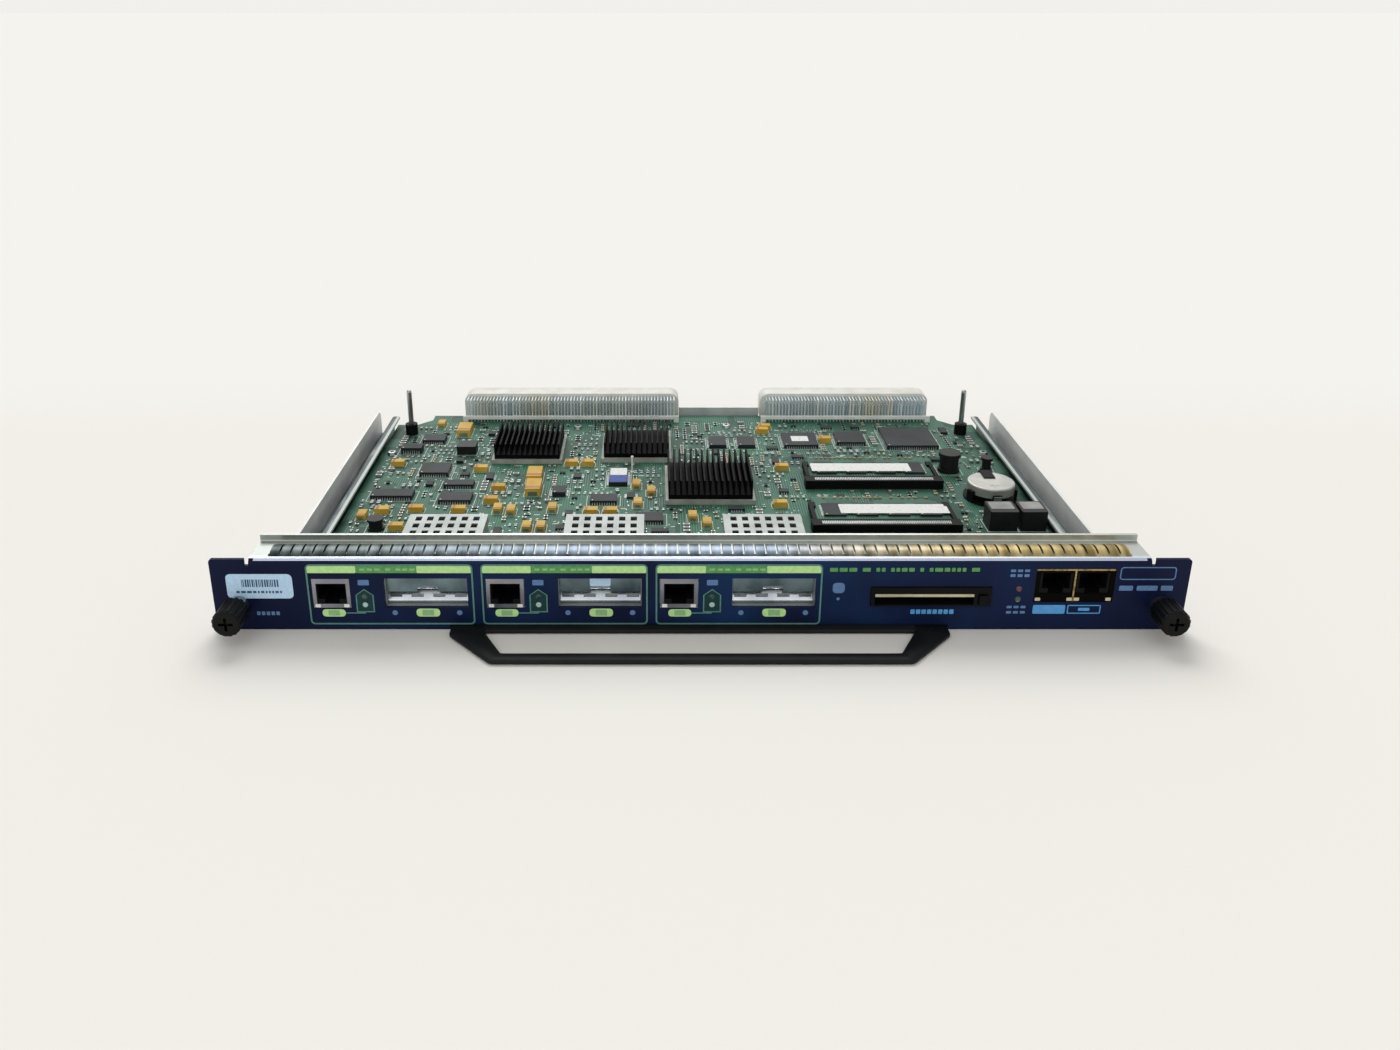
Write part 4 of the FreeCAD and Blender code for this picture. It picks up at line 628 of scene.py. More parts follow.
INK_DARK = printed("label_bar_ink", "#435E7B", "#3D5773")
INK_WHITE = printed("white_board_ink", "#DCE5DD", "#CDD8CF")
INK_ROYAL = printed("royal_blue_ink", "#3C5AA8", "#2F4A92")
LABEL_BLUE = printed("pale_blue_label_film", "#C3E0F8", "#B6D6F3")
LABEL_PAPER = label_paper()
WINDOW = moulded("milky_acrylic_window", "#DACFA8", "#C6BA92", 0.3, 0.3)
RESISTOR = moulded("chip_resistor_glaze", "#242529", "#16171A", 0.35, 0.2)
CERAMIC = moulded("chip_capacitor_ceramic", "#B49A76", "#8E7757", 0.5, 0.2)
GREY_CERAMIC = moulded("grey_capacitor_ceramic", "#9C9C95", "#7E7F7A", 0.5, 0.2)
NETWORK = moulded("resistor_network_glaze", "#33363B", "#202226", 0.4, 0.2)
STRIPE = moulded("burnt_polarity_stripe", "#A8671E", "#8C5214", 0.45, 0.3)
# painted reflection: the pale grey that the tall coils' tops show
COIL_SHEEN_GREY = moulded("painted_coil_sheen", "#9B9B98", "#7C7C7B", 0.6, 0.4)
OWN_FINISHES = {"console_shield": BRASS, "left_rail": RAIL, "right_rail": RAIL, "port_sills": SILL}


def dress_nodes():
    """Give each CAD node the finish of its slot, or its own."""
    for part in frame["record"]["subparts"]:
        node = part["node"]
        mesh = frame["nodes"][node].data
        mesh.materials.clear()
        mesh.materials.append(OWN_FINISHES.get(node, FINISHES[part["material_slot"]]))


# Print on the panel: fields are left, right, foot and top; port print is placed from its jack's middle

PORT_FRAME = (-10.1, 61.5, 2.4, 31.7)
PORT_CORNER = 2.0
PORT_LINE = 0.7
BAND_Z = (27.5, 30.9)
BAND_ENDS = ((-9.4, 11.4), (37.6, 60.8))
BAND_MIDDLE = (11.4, 37.6)
BAND_DASHES = (13.0, 16.4, 19.6, 24.2, 28.6, 31.4, 34.6)
DASH_WIDTH = 2.2
DASH_INSET = 1.2
PILLS = ((-4.6, 5.4, 6.3, 9.9), (36.2, 46.4, 6.3, 10.2))
PILL_END = 2.6
PILL_INSET = 0.5
PILL_CORNER = 1.5
SPOTS = (26.9, 54.9)
SPOT_Z = 8.2
SPOT_RADIUS = 1.2
LED_X = 14.3
LED_HALF = 3.9
LED_FIELD = (8.4, 16.8, 19.8)   # foot, eaves and peak of the field round the indicators
LED_LINE = 0.55
LED_TIE = (7.8, 8.3)
LED_CAPTION = (11.9, 16.7, 21.6, 24.2)
FIELD_CORNER = 0.4
BUTT_CORNER = 0.1


def stroke(bm, x0, x1, z0, z1, corner=0.2):
    """A field of ink on the panel's face."""
    slab(bm, (x0, -RISE, z0), (x1, 0, z1), corner, Y)


def overprint(bm, x0, x1, z0, z1):
    """A field of ink on another one."""
    slab(bm, (x0, -OVERPRINT, z0), (x1, -RISE, z1))


def port_print():
    """The outline of each port group, its bands, pills and spots, and the field round its indicators."""
    outlines, fields, bands, middles, pills, captions = (bmesh.new() for ink in range(6))
    low, high = BAND_Z
    foot, eaves, peak = LED_FIELD
    for x in JACK_XS:
        left, right, bottom, top = PORT_FRAME
        ring(outlines, x + left, x + right, bottom, top, PORT_CORNER, PORT_LINE)
        house(outlines, x + LED_X, LED_HALF, foot, eaves, peak, RISE)
        house(fields, x + LED_X, LED_HALF - LED_LINE, foot + LED_LINE, eaves, peak - LED_LINE, OVERPRINT)
        stroke(outlines, x + PILLS[0][1], x + LED_X, *LED_TIE)
        for left, right in BAND_ENDS:
            stroke(bands, x + left, x + right, low, high, FIELD_CORNER)
        left, right = BAND_MIDDLE
        stroke(middles, x + left, x + right, low, high, BUTT_CORNER)
        for left in BAND_DASHES:
            overprint(pills, x + left, x + left + DASH_WIDTH, low + DASH_INSET, high - DASH_INSET)
        for left, right, bottom, top in PILLS:
            stroke(bands, x + left, x + right, bottom, top, PILL_CORNER)
            overprint(pills, x + left + PILL_END, x + right - PILL_END, bottom + PILL_INSET, top - PILL_INSET)
        for spot in SPOTS:
            disc(captions, (x + spot, 0, SPOT_Z), SPOT_RADIUS, -RISE, Y)
        left, right, bottom, top = LED_CAPTION
        stroke(captions, x + left, x + right, bottom, top, FIELD_CORNER)
    piece("port_outlines", outlines, "panel_paint", INK_TEAL)
    piece("indicator_fields", fields, "panel_paint", INK_POOL)
    piece("port_bands", bands, "panel_paint", INK_GREEN)
    piece("port_band_middles", middles, "panel_paint", INK_LEAF)
    piece("port_pills", pills, "panel_paint", INK_PILL)
    piece("port_captions", captions, "panel_paint", INK_SLATE)


LABEL = (-203.6, -175.1, 15.2, 27.0)
LABEL_CORNER = 2.0
LABEL_ROWS = (          # margins at the left and right, foot and top above the label's foot, widths and gaps
    (6.6, 6.4, 5.6, 9.2, (0.3, 0.45, 0.7), (0.3, 0.45)),
    (4.0, 5.0, 2.6, 3.7, (0.8, 1.4, 2.0), (0.6,)),
)


def panel_label():
    """The pale label at the left end, with two rows of plain bars."""
    film = bmesh.new()
    stroke(film, *LABEL, LABEL_CORNER)
    piece("panel_label", film, "comb_white", LABEL_BLUE)
    bars = bmesh.new()
    draw = random.Random(3)
    x0, x1, z0 = LABEL[:3]
    for left, right, foot, top, widths, gaps in LABEL_ROWS:
        for start, end in drawn_bars(draw, x0 + left, x1 - right, widths, gaps):
            overprint(bars, start, end, z0 + foot, z0 + top)
    piece("panel_label_bars", bars, "comb_white", INK_DARK)


CARD_HEADING = (55.6, 117.6, 28.2, 30.0)
HEADING_WIDTHS = (1.6, 2.4, 3.4)
HEADING_GAPS = (0.7, 0.7, 2.4)
CARD_CAPTION = (91.5, 108.5, 7.6, 9.8)
CARD_DASH = (1.9, 2.4)          # width and pitch
SERIAL_ROW = (-192.0, -183.6, 7.0, 8.8)
SERIAL_DASH = (1.5, 2.1)
SIGN = (57.2, 62.4, 17.8, 22.8)
SIGN_CORNER = 1.6
SIGN_DOT = (59.8, 0, 15.0)
SIGN_DOT_RADIUS = 0.7
STATUS_DASHES = (133.0, 136.0, 139.0)
STATUS_DASH = 2.2
STATUS_ROWS = ((25.6, 27.0), (28.0, 29.2), (10.4, 11.6), (7.8, 9.0))
DASH_CORNER = 0.3
CONSOLE_FIELDS = ((144.4, 158.4), (159.3, 173.8))
CONSOLE_FIELD_Z = (7.7, 12.0)
CONSOLE_INSET = (4.8, 1.4)
CONSOLE_CORNER = 0.6
BLANK_FIELD = (180.0, 204.0, 24.2, 30.4)
BLANK_CORNER = 1.4
BLANK_BARS = ((180.4, 186.4), (188.0, 197.0), (198.4, 203.6))
BLANK_BAR_Z = (19.0, 21.4)
THIN_LINE = 0.5


def dashes(bm, field, dash):
    """A row of short bars in a field of the panel."""
    x0, x1, z0, z1 = field
    wide, pitch = dash
    for x in row(x0, x1, pitch):
        stroke(bm, x, x + wide, z0, z1, DASH_CORNER)


def right_print():
    """Rows of bars and plain fields right of the ports, and the short row of bars below the label."""
    green, slate, blue = (bmesh.new() for ink in range(3))
    x0, x1, z0, z1 = CARD_HEADING
    for start, end in drawn_bars(random.Random(5), x0, x1, HEADING_WIDTHS, HEADING_GAPS):
        stroke(green, start, end, z0, z1, DASH_CORNER)
    piece("card_heading", green, "panel_paint", INK_LEAF)
    stroke(slate, *SIGN, SIGN_CORNER)
    disc(slate, SIGN_DOT, SIGN_DOT_RADIUS, -RISE, Y)
    for low, high in STATUS_ROWS:
        for x in STATUS_DASHES:
            stroke(slate, x, x + STATUS_DASH, low, high, DASH_CORNER)
    dashes(slate, SERIAL_ROW, SERIAL_DASH)
    ring(slate, *BLANK_FIELD, BLANK_CORNER, THIN_LINE)
    for left, right in BLANK_BARS:
        stroke(slate, left, right, *BLANK_BAR_Z, THIN_LINE)
    piece("status_captions", slate, "panel_paint", INK_SLATE)
    dashes(blue, CARD_CAPTION, CARD_DASH)
    filled, (left, right) = CONSOLE_FIELDS
    low, high = CONSOLE_FIELD_Z
    in_x, in_z = CONSOLE_INSET
    stroke(blue, *filled, low, high, CONSOLE_CORNER)
    ring(blue, left, right, low, high, CONSOLE_CORNER, THIN_LINE)
    stroke(blue, left + in_x, right - in_x, low + in_z, high - in_z)
    piece("console_bars", blue, "panel_paint", INK_BLUE)


# Jacks: contact wires in the opening, indicator windows in the lower corners

WIRE_COUNT = 8
WIRE_PITCH = 1.02
WIRE_HALF = 0.22
WIRE_THICK = 0.3
WIRE_SPAN = (2.6, 11.0)
WIRE_SLOPE = math.radians(22)
WIRE_DROP = 2.4         # from the jack's top down to its contact wires
WINDOW_INSET = 0.4
WINDOW_SIZE = (2.3, 1.5)
WINDOW_LIFT = 0.3
WINDOW_DEPTH = (0.05, 0.2)
WINDOW_CORNER = 0.3


def jack_details():
    """Sloping contact wires, and two small windows below them, in each LAN and console opening."""
    wires, white, amber = (bmesh.new() for kind in range(3))
    front, back = WIRE_SPAN
    slope = Matrix.Rotation(-WIRE_SLOPE, 3, "X")
    wide, tall = WINDOW_SIZE
    near, far = WINDOW_DEPTH
    quarter = (CONSOLE_HIGH.x - CONSOLE_LOW.x) / 4
    places = [(x, low.z, high.z, (high.x - low.x) / 2, white) for x, (low, high) in zip(JACK_XS, JACKS)]
    for x in (CONSOLE_X - quarter, CONSOLE_X + quarter):
        places.append((x, CONSOLE_LOW.z, CONSOLE_HIGH.z, quarter, amber))
    for x, low, high, half, windows in places:
        top = high - WIRE_DROP
        for wire in range(WIRE_COUNT):
            middle = x + (wire - (WIRE_COUNT - 1) / 2) * WIRE_PITCH
            made = slab(wires, (middle - WIRE_HALF, front, top - WIRE_THICK), (middle + WIRE_HALF, back, top))
            bmesh.ops.rotate(wires, cent=(middle, front, top), verts=made, matrix=slope)
        foot = low + WINDOW_LIFT
        for side in (-1, 1):
            middle = x + side * (half - WINDOW_INSET - wide / 2)
            slab(windows, (middle - wide / 2, near, foot), (middle + wide / 2, far, foot + tall),
                 WINDOW_CORNER, Y)
    piece("jack_contacts", wires, "pin_gold", GOLD)
    piece("jack_windows", white, "clear_lens", FINISHES["comb_white"])
    piece("console_windows", amber, "clear_lens", WINDOW)


# painted highlight on the middle flap: its width and height, drop below the flap's top, and corner
FLAP_HIGHLIGHT = (9.0, 4.6)
FLAP_HIGHLIGHT_DROP = 0.8
FLAP_HIGHLIGHT_CORNER = 0.8


def flap_highlight():
    """A pale patch on the middle port's flap, in the label's pale blue: a painted highlight."""
    low, high = corners("port_flap_2")
    wide, tall = FLAP_HIGHLIGHT
    x = (low.x + high.x) / 2
    top = high.z - FLAP_HIGHLIGHT_DROP
    film = bmesh.new()
    slab(film, (x - wide / 2, low.y - RISE, top - tall), (x + wide / 2, low.y, top), FLAP_HIGHLIGHT_CORNER, Y)
    piece("flap_highlight", film, "comb_white", LABEL_BLUE, "flap_2")


# Card slot: the guide leaf in its opening, the ribs on its roof, the contact tails behind it

LEAF_ENDS = (1.8, 1.0)          # margins to the slot's left end and to the eject button
LEAF_SPAN = (0.1, 8.0)
LEAF_DROP = (4.6, 3.2)
LEAF_CORNER = 0.3
CARD_RIBS = (9.0, 17.0, 25.0, 33.0, 41.0)
CARD_RIB = (1.2, 0.6)
CARD_RIB_MARGIN = 2.0
CARD_RIB_CORNER = 0.25
TAIL_PITCH = 1.27
TAIL_WIDTH = 0.5
TAIL_MARGIN = 3.0
TAIL_STEPS = ((0.0, 1.3, 0.2), (0.2, 0.25, 2.4))    # foot, reach and top of the foot and of the riser


def card_details():
    """Plated guide leaf in the card opening, moulded ribs on its roof, and contact tails behind it."""
    low, high = corners("card_slot")
    button = corners("eject_button")[0].x
    leaf, ribs, tails = (bmesh.new() for kind in range(3))
    near, far = LEAF_SPAN
    foot, top = LEAF_DROP
    slab(leaf, (low.x + LEAF_ENDS[0], low.y + near, high.z - foot),
         (button - LEAF_ENDS[1], low.y + far, high.z - top), LEAF_CORNER, X)
    piece("card_guide_leaf", leaf, "spring_metal", LEAF)
    wide, tall = CARD_RIB
    for y in CARD_RIBS:
        slab(ribs, (low.x + CARD_RIB_MARGIN, y, high.z), (high.x - CARD_RIB_MARGIN, y + wide, high.z + tall),
             CARD_RIB_CORNER, X)
    piece("card_slot_ribs", ribs, "black_plastic")
    for x in row(low.x + TAIL_MARGIN, high.x - TAIL_MARGIN, TAIL_PITCH):
        for foot, reach, top in TAIL_STEPS:
            slab(tails, (x, high.y, BOARD_TOP + foot), (x + TAIL_WIDTH, high.y + reach, BOARD_TOP + top))
    piece("card_slot_tails", tails, "jack_metal", SOLDER)


SPRING_PLACES = (-4.6, 2.6)     # two springs on each shield's roof, from its middle
SPRING_WIDTH = 2.0
SPRING_SPAN = (4.0, 13.0)
SPRING_RISE = 0.5
SPRING_CORNER = 0.45


def shield_springs():
    """Springs pressed up from the roofs of the jack shields."""
    springs = bmesh.new()
    front, back = SPRING_SPAN
    for low, high in solids("jack_shields"):
        for place in SPRING_PLACES:
            x = (low.x + high.x) / 2 + place
            slab(springs, (x, front, high.z), (x + SPRING_WIDTH, back, high.z + SPRING_RISE),
                 SPRING_CORNER, X)
    piece("shield_springs", springs, "jack_metal", smooth=True)


# Soldered parts

LEG_PITCH = 1.27
LEG_WIDTH = 0.5
LEG_THICK = 0.18
LEG_REACH = 1.3
LEG_RISE = 0.55         # the legs leave a chip's wall at this share of its height
LEG_MARGIN = 1.0
NEAR_SQUARE = 0.8       # a chip whose sides are this much alike has legs all round
FIRST_MARKS = {"logic_chips": (1.3, 0.45), "memory_chips": (1.2, 0.4)}     # inset and radius
FIRST_MARK_RISE = 0.02
FIRST_MARK_STEPS = 10


def leg_row(bm, low, high, foot, along, way):
    """Gull-wing legs along one side of a chip: a riser at its wall and a foot on the pads."""
    out = Y - along
    count = int((high[along] - low[along] - LEG_MARGIN) / LEG_PITCH)
    start = (low[along] + high[along] - (count - 1) * LEG_PITCH) / 2
    wall = high[out] if way > 0 else low[out]
    rise = foot + (high.z - foot) * LEG_RISE
    for leg in range(count):
        middle = start + leg * LEG_PITCH
        ends = (middle - LEG_WIDTH / 2, middle + LEG_WIDTH / 2)
        for reach, top in ((LEG_THICK, rise), (LEG_REACH, foot + LEG_THICK)):
            bar(bm, along, ends, (wall, wall + way * reach), foot, top)


def chip_legs():
    """Legs of the chips on the board and on the modules, and a printed dot at each chip's first leg."""
    legs, dots = bmesh.new(), bmesh.new()
    for node, (inset, radius) in FIRST_MARKS.items():
        for low, high in solids(node):
            wide = high.x - low.x
            deep = high.y - low.y
            on_module = node == "memory_chips"
            foot = low.z if on_module else BOARD_TOP
            for way in (-1, 1):
                if wide > deep * NEAR_SQUARE and not on_module:
                    leg_row(legs, low, high, foot, X, way)
                if deep > wide * NEAR_SQUARE or on_module:
                    leg_row(legs, low, high, foot, Y, way)
            disc(dots, (low.x + inset, low.y + inset, high.z), radius, FIRST_MARK_RISE, Z, FIRST_MARK_STEPS)
    piece("chip_legs", legs, "jack_metal", SOLDER)
    piece("chip_first_marks", dots, "comb_white", INK_WHITE)


CAP_THICK = 0.3
CAP_INSET = 0.2         # shares of a capacitor's width and height
CAP_HEIGHT = 0.6
STRIPE_PLACE = (0.08, 0.28)     # shares of its length


def capacitor_ends():
    """Tinned end caps and the polarity stripe of each tantalum capacitor."""
    ends, stripes = bmesh.new(), bmesh.new()
    for low, high in solids("tantalum_capacitors"):
        size = high - low
        along = X if size.x > size.y else Y
        across = Y - along
        inset = size[across] * CAP_INSET
        for edge, way in ((low[along], -1), (high[along], 1)):
            bar(ends, along, (edge, edge + way * CAP_THICK), (low[across] + inset, high[across] - inset),
                low.z, low.z + size.z * CAP_HEIGHT)
        bar(stripes, along, [low[along] + size[along] * share for share in STRIPE_PLACE],
            (low[across], high[across]), high.z, high.z + FILM)
    piece("capacitor_ends", ends, "jack_metal", SOLDER)
    piece("capacitor_stripes", stripes, "tantalum_yellow", STRIPE)


COVERED_NODES = (
    "logic_chips", "tantalum_capacitors", "power_coils", "processor_packages", "memory_socket_front",
    "memory_socket_rear", "memory_module_front", "memory_module_rear", "coin_cell_holder", "post_bases",
    "board_screws", "jack_shields", "console_shield", "card_slot", "led_blocks", "cage_lid_1", "cage_lid_2",
    "cage_lid_3", "pin_combs",
)
LEG_ROOM = 1.5
PART_ROOM = 0.5
BOARD_EDGE = 4.0
RASTER = 0.5            # bare board is found on squares of this size
OUTLINE_CHIPS = ((4.9, 3.9, 1.5), (6.4, 4.4, 1.1), (8.6, 3.9, 1.5), (3.0, 1.7, 1.0), (2.9, 1.6, 1.0))
CHIP_TRIES = 420
CHIP_LIFT = 0.1
SMALL_PARTS = {         # length, width and height
    "chip_resistors": ((2.0, 1.25, 0.6), "chip_black", RESISTOR),
    "chip_ceramics": ((2.0, 1.25, 0.95), "tantalum_yellow", CERAMIC),
    "chip_grey_ceramics": ((3.2, 1.8, 1.2), "package_grey", GREY_CERAMIC),
    "chip_networks": ((3.2, 1.6, 0.6), "chip_black", NETWORK),
}
SMALL_MIX = ("chip_resistors", "chip_resistors", "chip_ceramics", "chip_ceramics", "chip_grey_ceramics",
             "chip_networks")
SMALL_END = 0.42
SMALL_END_RISE = 0.04
SMALL_GAP = 0.8
ROW_TRIES = 2600
ROW_MOST = 7
VIA_TRIES = 3200
VIA_RADIUS = 0.42
VIA_RISE = 0.04
VIA_STEPS = 8
MARK_TRIES = 1500
MARK_HALVES = (0.6, 1.0, 1.5)   # half lengths
MARK_HALF = 0.35                # half width
OUTLINE_ROOM = {"logic_chips": 2.0, "tantalum_capacitors": 0.9, "power_coils": 0.8}
OUTLINE_LINE = 0.3


def squares(x0, x1, y0, y1):
    """The raster squares that a rectangle on the board touches."""
    columns = range(math.floor(x0 / RASTER), math.ceil(x1 / RASTER))
    lines = range(math.floor(y0 / RASTER), math.ceil(y1 / RASTER))
    return [(column, line) for column in columns for line in lines]


def covered_squares():
    """The raster squares under the CAD parts on the board, with room for their legs."""
    covered = set()
    for node in COVERED_NODES:
        for low, high in solids(node):
            covered.update(squares(low.x - LEG_ROOM, high.x + LEG_ROOM, low.y - LEG_ROOM, high.y + LEG_ROOM))
    return covered


def on_board(x0, x1, y0, y1):
    """Whether a rectangle lies on the board, clear of its edges and its two notched corners."""
    reach = max(abs(x0), abs(x1))
    back = RAIL_BACK - BOARD_EDGE if reach > COMB_HIGH.x else COMB_LOW.y
    return reach < BOARD_HIGH.x - BOARD_EDGE and y0 > BOARD_LOW.y + BOARD_EDGE and y1 < back


def claim(covered, x, y, half_x, half_y):
    """Take a rectangle of bare board if it is free."""
    place = (x - half_x, x + half_x, y - half_y, y + half_y)
    own = squares(*place)
    if not on_board(*place) or not covered.isdisjoint(own):
        return False
    covered.update(own)
    return True


def any_place(draw):
    """A drawn place on the board."""
    return draw.uniform(BOARD_LOW.x, BOARD_HIGH.x), draw.uniform(BOARD_LOW.y, BOARD_HIGH.y)


def small_part(body, ends, place, size, along):
    """A chip part between two tinned ends."""
    length, width, height = size
    middle = place[along]
    across = place[Y - along]
    sides = (across - width / 2, across + width / 2)
    half = length / 2
    inner = half - SMALL_END
    bar(body, along, (middle - inner, middle + inner), sides, BOARD_TOP, BOARD_TOP + height)
    for near, far in ((-half, -inner), (inner, half)):
        bar(ends, along, (middle + near, middle + far), sides, BOARD_TOP, BOARD_TOP + height + SMALL_END_RISE)


def outline_chips(covered, draw):
    """Small outline chips with legs along their two long sides."""
    bodies, legs = bmesh.new(), bmesh.new()
    for chip in range(CHIP_TRIES):
        x, y = any_place(draw)
        long, short, tall = draw.choice(OUTLINE_CHIPS)
        along = X if draw.random() < 0.5 else Y
        half = Vector((long, short, 0) if along == X else (short, long, 0)) / 2
        if claim(covered, x, y, half.x + LEG_ROOM, half.y + LEG_ROOM):
            middle = Vector((x, y, BOARD_TOP))
            low = middle - half + Vector((0, 0, CHIP_LIFT))
            high = middle + half + Vector((0, 0, tall))
            slab(bodies, low, high)
            for way in (-1, 1):
                leg_row(legs, low, high, BOARD_TOP, along, way)
    piece("outline_chips", bodies, "chip_black")
    piece("outline_chip_legs", legs, "jack_metal", SOLDER)


def box_outline(bm, x0, x1, y0, y1):
    """Four printed lines round a part on the board."""
    low = BOARD_TOP
    high = BOARD_TOP + FILM
    line = OUTLINE_LINE
    for y in (y0, y1 - line):
        slab(bm, (x0, y, low), (x1, y + line, high))
    for x in (x0, x1 - line):
        slab(bm, (x, y0 + line, low), (x + line, y1 - line, high))


def small_parts():
    """Small chips, rows of chip parts, plated through-holes and printed marks on the bare board."""
    covered = covered_squares()
    draw = random.Random(11)
    outline_chips(covered, draw)
    bodies = {name: bmesh.new() for name in SMALL_PARTS}
    ends, marks = bmesh.new(), bmesh.new()
    for attempt in range(ROW_TRIES):
        place = list(any_place(draw))
        along = Y if draw.random() < 0.5 else X
        name = draw.choice(SMALL_MIX)
        size = SMALL_PARTS[name][0]
        half = [extent / 2 + PART_ROOM for extent in (size[:2] if along == X else size[1::-1])]
        for part in range(draw.randint(1, ROW_MOST)):
            if not claim(covered, *place, *half):
                break
            small_part(bodies[name], ends, place, size, along)
            place[Y - along] += size[1] + 2 * PART_ROOM + SMALL_GAP
    for via in range(VIA_TRIES):
        x, y = any_place(draw)
        if claim(covered, x, y, PART_ROOM, PART_ROOM):
            disc(ends, (x, y, BOARD_TOP), VIA_RADIUS, VIA_RISE, Z, VIA_STEPS)
    for mark in range(MARK_TRIES):
        x, y = any_place(draw)
        half = draw.choice(MARK_HALVES)
        if claim(covered, x, y, half, PART_ROOM):
            slab(marks, (x - half, y - MARK_HALF, BOARD_TOP), (x + half, y + MARK_HALF, BOARD_TOP + FILM))
    for name, (size, slot, finish) in SMALL_PARTS.items():
        piece(name, bodies[name], slot, finish)
    piece("solder_ends", ends, "jack_metal", SOLDER)
    for node, room in OUTLINE_ROOM.items():
        for low, high in solids(node):
            box_outline(marks, low.x - room, high.x + room, low.y - room, high.y + room)
    piece("board_marks", marks, "comb_white", INK_WHITE)


MODULE_LABELS = {"front": (74.5, 130.5), "rear": (67.0, 121.5)}
MODULE_LABEL_MARGIN = 1.6
MODULE_LABEL_RISE = 0.1
MODULE_LABEL_CORNER = 0.6
CONTACT_PITCH = 0.9     # real contacts are half as wide, too fine to show
CONTACT_SIZE = (0.55, 2.4)
CONTACT_MARGIN = 2.0
SOCKET_GRIP = 3.0       # the socket covers this much of the module's contact edge
SOCKET_WIDTH = 0.5
SOCKET_CONTACTS = ((-0.9, 0.0, 0.0, 0.25), (1.6, 4.6, 5.0, 0.04))   # tails at the foot, springs in the top
MODULE_PART = (1.6, 0.9, 0.7)
MODULE_PART_EDGE = 1.2
MODULE_PART_MARGIN = 6.0
MODULE_PART_STEPS = (2.6, 2.6, 3.4, 5.6)


def memory_details():
    """On each memory module: a label across its chips, gilt contacts at its socket, parts at its far edge."""
    labels, contacts, tails, parts = (bmesh.new() for kind in range(4))
    chips = solids("memory_chips")
    draw = random.Random(17)
    wide, deep, tall = MODULE_PART
    contact, length = CONTACT_SIZE
    for name, (x0, x1) in MODULE_LABELS.items():
        low, high = corners("memory_module_" + name)
        chip_low, chip_high = next(box for box in chips if low.y < box[0].y < high.y)
        slab(labels, (x0, chip_low.y + MODULE_LABEL_MARGIN, chip_high.z),
             (x1, chip_high.y - MODULE_LABEL_MARGIN, chip_high.z + MODULE_LABEL_RISE), MODULE_LABEL_CORNER)
        grip = low.y + SOCKET_GRIP
        socket = corners("memory_socket_" + name)[0].y
        for x in row(low.x + CONTACT_MARGIN, high.x - CONTACT_MARGIN, CONTACT_PITCH):
            slab(contacts, (x, grip, high.z), (x + contact, grip + length, high.z + FILM))
            for front, back, foot, rise in SOCKET_CONTACTS:
                base = BOARD_TOP + foot
                slab(tails, (x, socket + front, base), (x + SOCKET_WIDTH, socket + back, base + rise))
        x = low.x + MODULE_PART_MARGIN
        back = high.y - MODULE_PART_EDGE
        while x < high.x - MODULE_PART_MARGIN:
            slab(parts, (x, back - deep, high.z), (x + wide, back, high.z + tall))
            x += draw.choice(MODULE_PART_STEPS)
    piece("module_labels", labels, "comb_white", LABEL_PAPER)
    piece("module_contacts", contacts, "pin_gold", GOLD)
    piece("socket_contacts", tails, "jack_metal", SOLDER)
    piece("module_small_parts", parts, "tantalum_yellow", CERAMIC)


PLAIN_STICKER_X = 67.0          # the large chip near this place has a plain sticker
PLAIN_STICKER_HALF = (5.0, 4.0)
LARGE_CHIP = 15.0
SPLIT_STICKER = (-39.0, 140.0)  # and the chip near this one a sticker with a blue field
STICKER_REACH = (3.0, 6.0)
STICKER_MARGIN = 0.4
STICKER_FRONT = 0.6
STICKER_RISE = 0.08
STICKER_CORNER = 0.4


def stickers():
    """Paper stickers on two chips."""
    white, blue = bmesh.new(), bmesh.new()
    half_x, half_y = PLAIN_STICKER_HALF
    for low, high in solids("logic_chips"):
        x, y = ((low + high) / 2).xy
        left = low.x + STICKER_MARGIN
        right = high.x - STICKER_MARGIN
        fields = []
        if abs(x - PLAIN_STICKER_X) < STICKER_REACH[0] and high.x - low.x > LARGE_CHIP:
            fields = [(white, x - half_x, x + half_x, y - half_y, y + half_y)]
        if abs(x - SPLIT_STICKER[0]) < STICKER_REACH[0] and abs(y - SPLIT_STICKER[1]) < STICKER_REACH[1]:
            fields = [(white, left, right, y, high.y - STICKER_MARGIN),
                      (blue, left, right, low.y + STICKER_FRONT, y - STICKER_MARGIN)]
        for target, x0, x1, y0, y1 in fields:
            slab(target, (x0, y0, high.z), (x1, y1, high.z + STICKER_RISE), STICKER_CORNER)
    piece("chip_stickers", white, "comb_white", LABEL_PAPER)
    piece("chip_sticker_field", blue, "comb_white", INK_ROYAL)


TEST_POST = (-31.6, 149.0)
TEST_PROFILE = ((0, 0), (1.1, 0), (1.1, 0.5), (0.45, 0.8), (0.45, 8.6), (0.8, 9.0), (0.8, 9.6), (0.5, 10.0),
                (0, 10.0))
TEST_STEPS = 14


def test_post():
    """A white test post, turned with a foot and a head."""
    post = bmesh.new()
    turned(post, TEST_PROFILE, Vector((*TEST_POST, BOARD_TOP)), Z, TEST_STEPS)
    piece("test_post", post, "comb_white", smooth=True)


# Screws

THREAD_PITCH = 0.7
THREAD_ROOT = 1.72
THREAD_FLANKS = (0.4, 0.6)      # the crest lies between these shares of a pitch
THREAD_CLEAR = 0.3
THREAD_END = 1.0
THREAD_STEPS = 24
NECK = 1.6


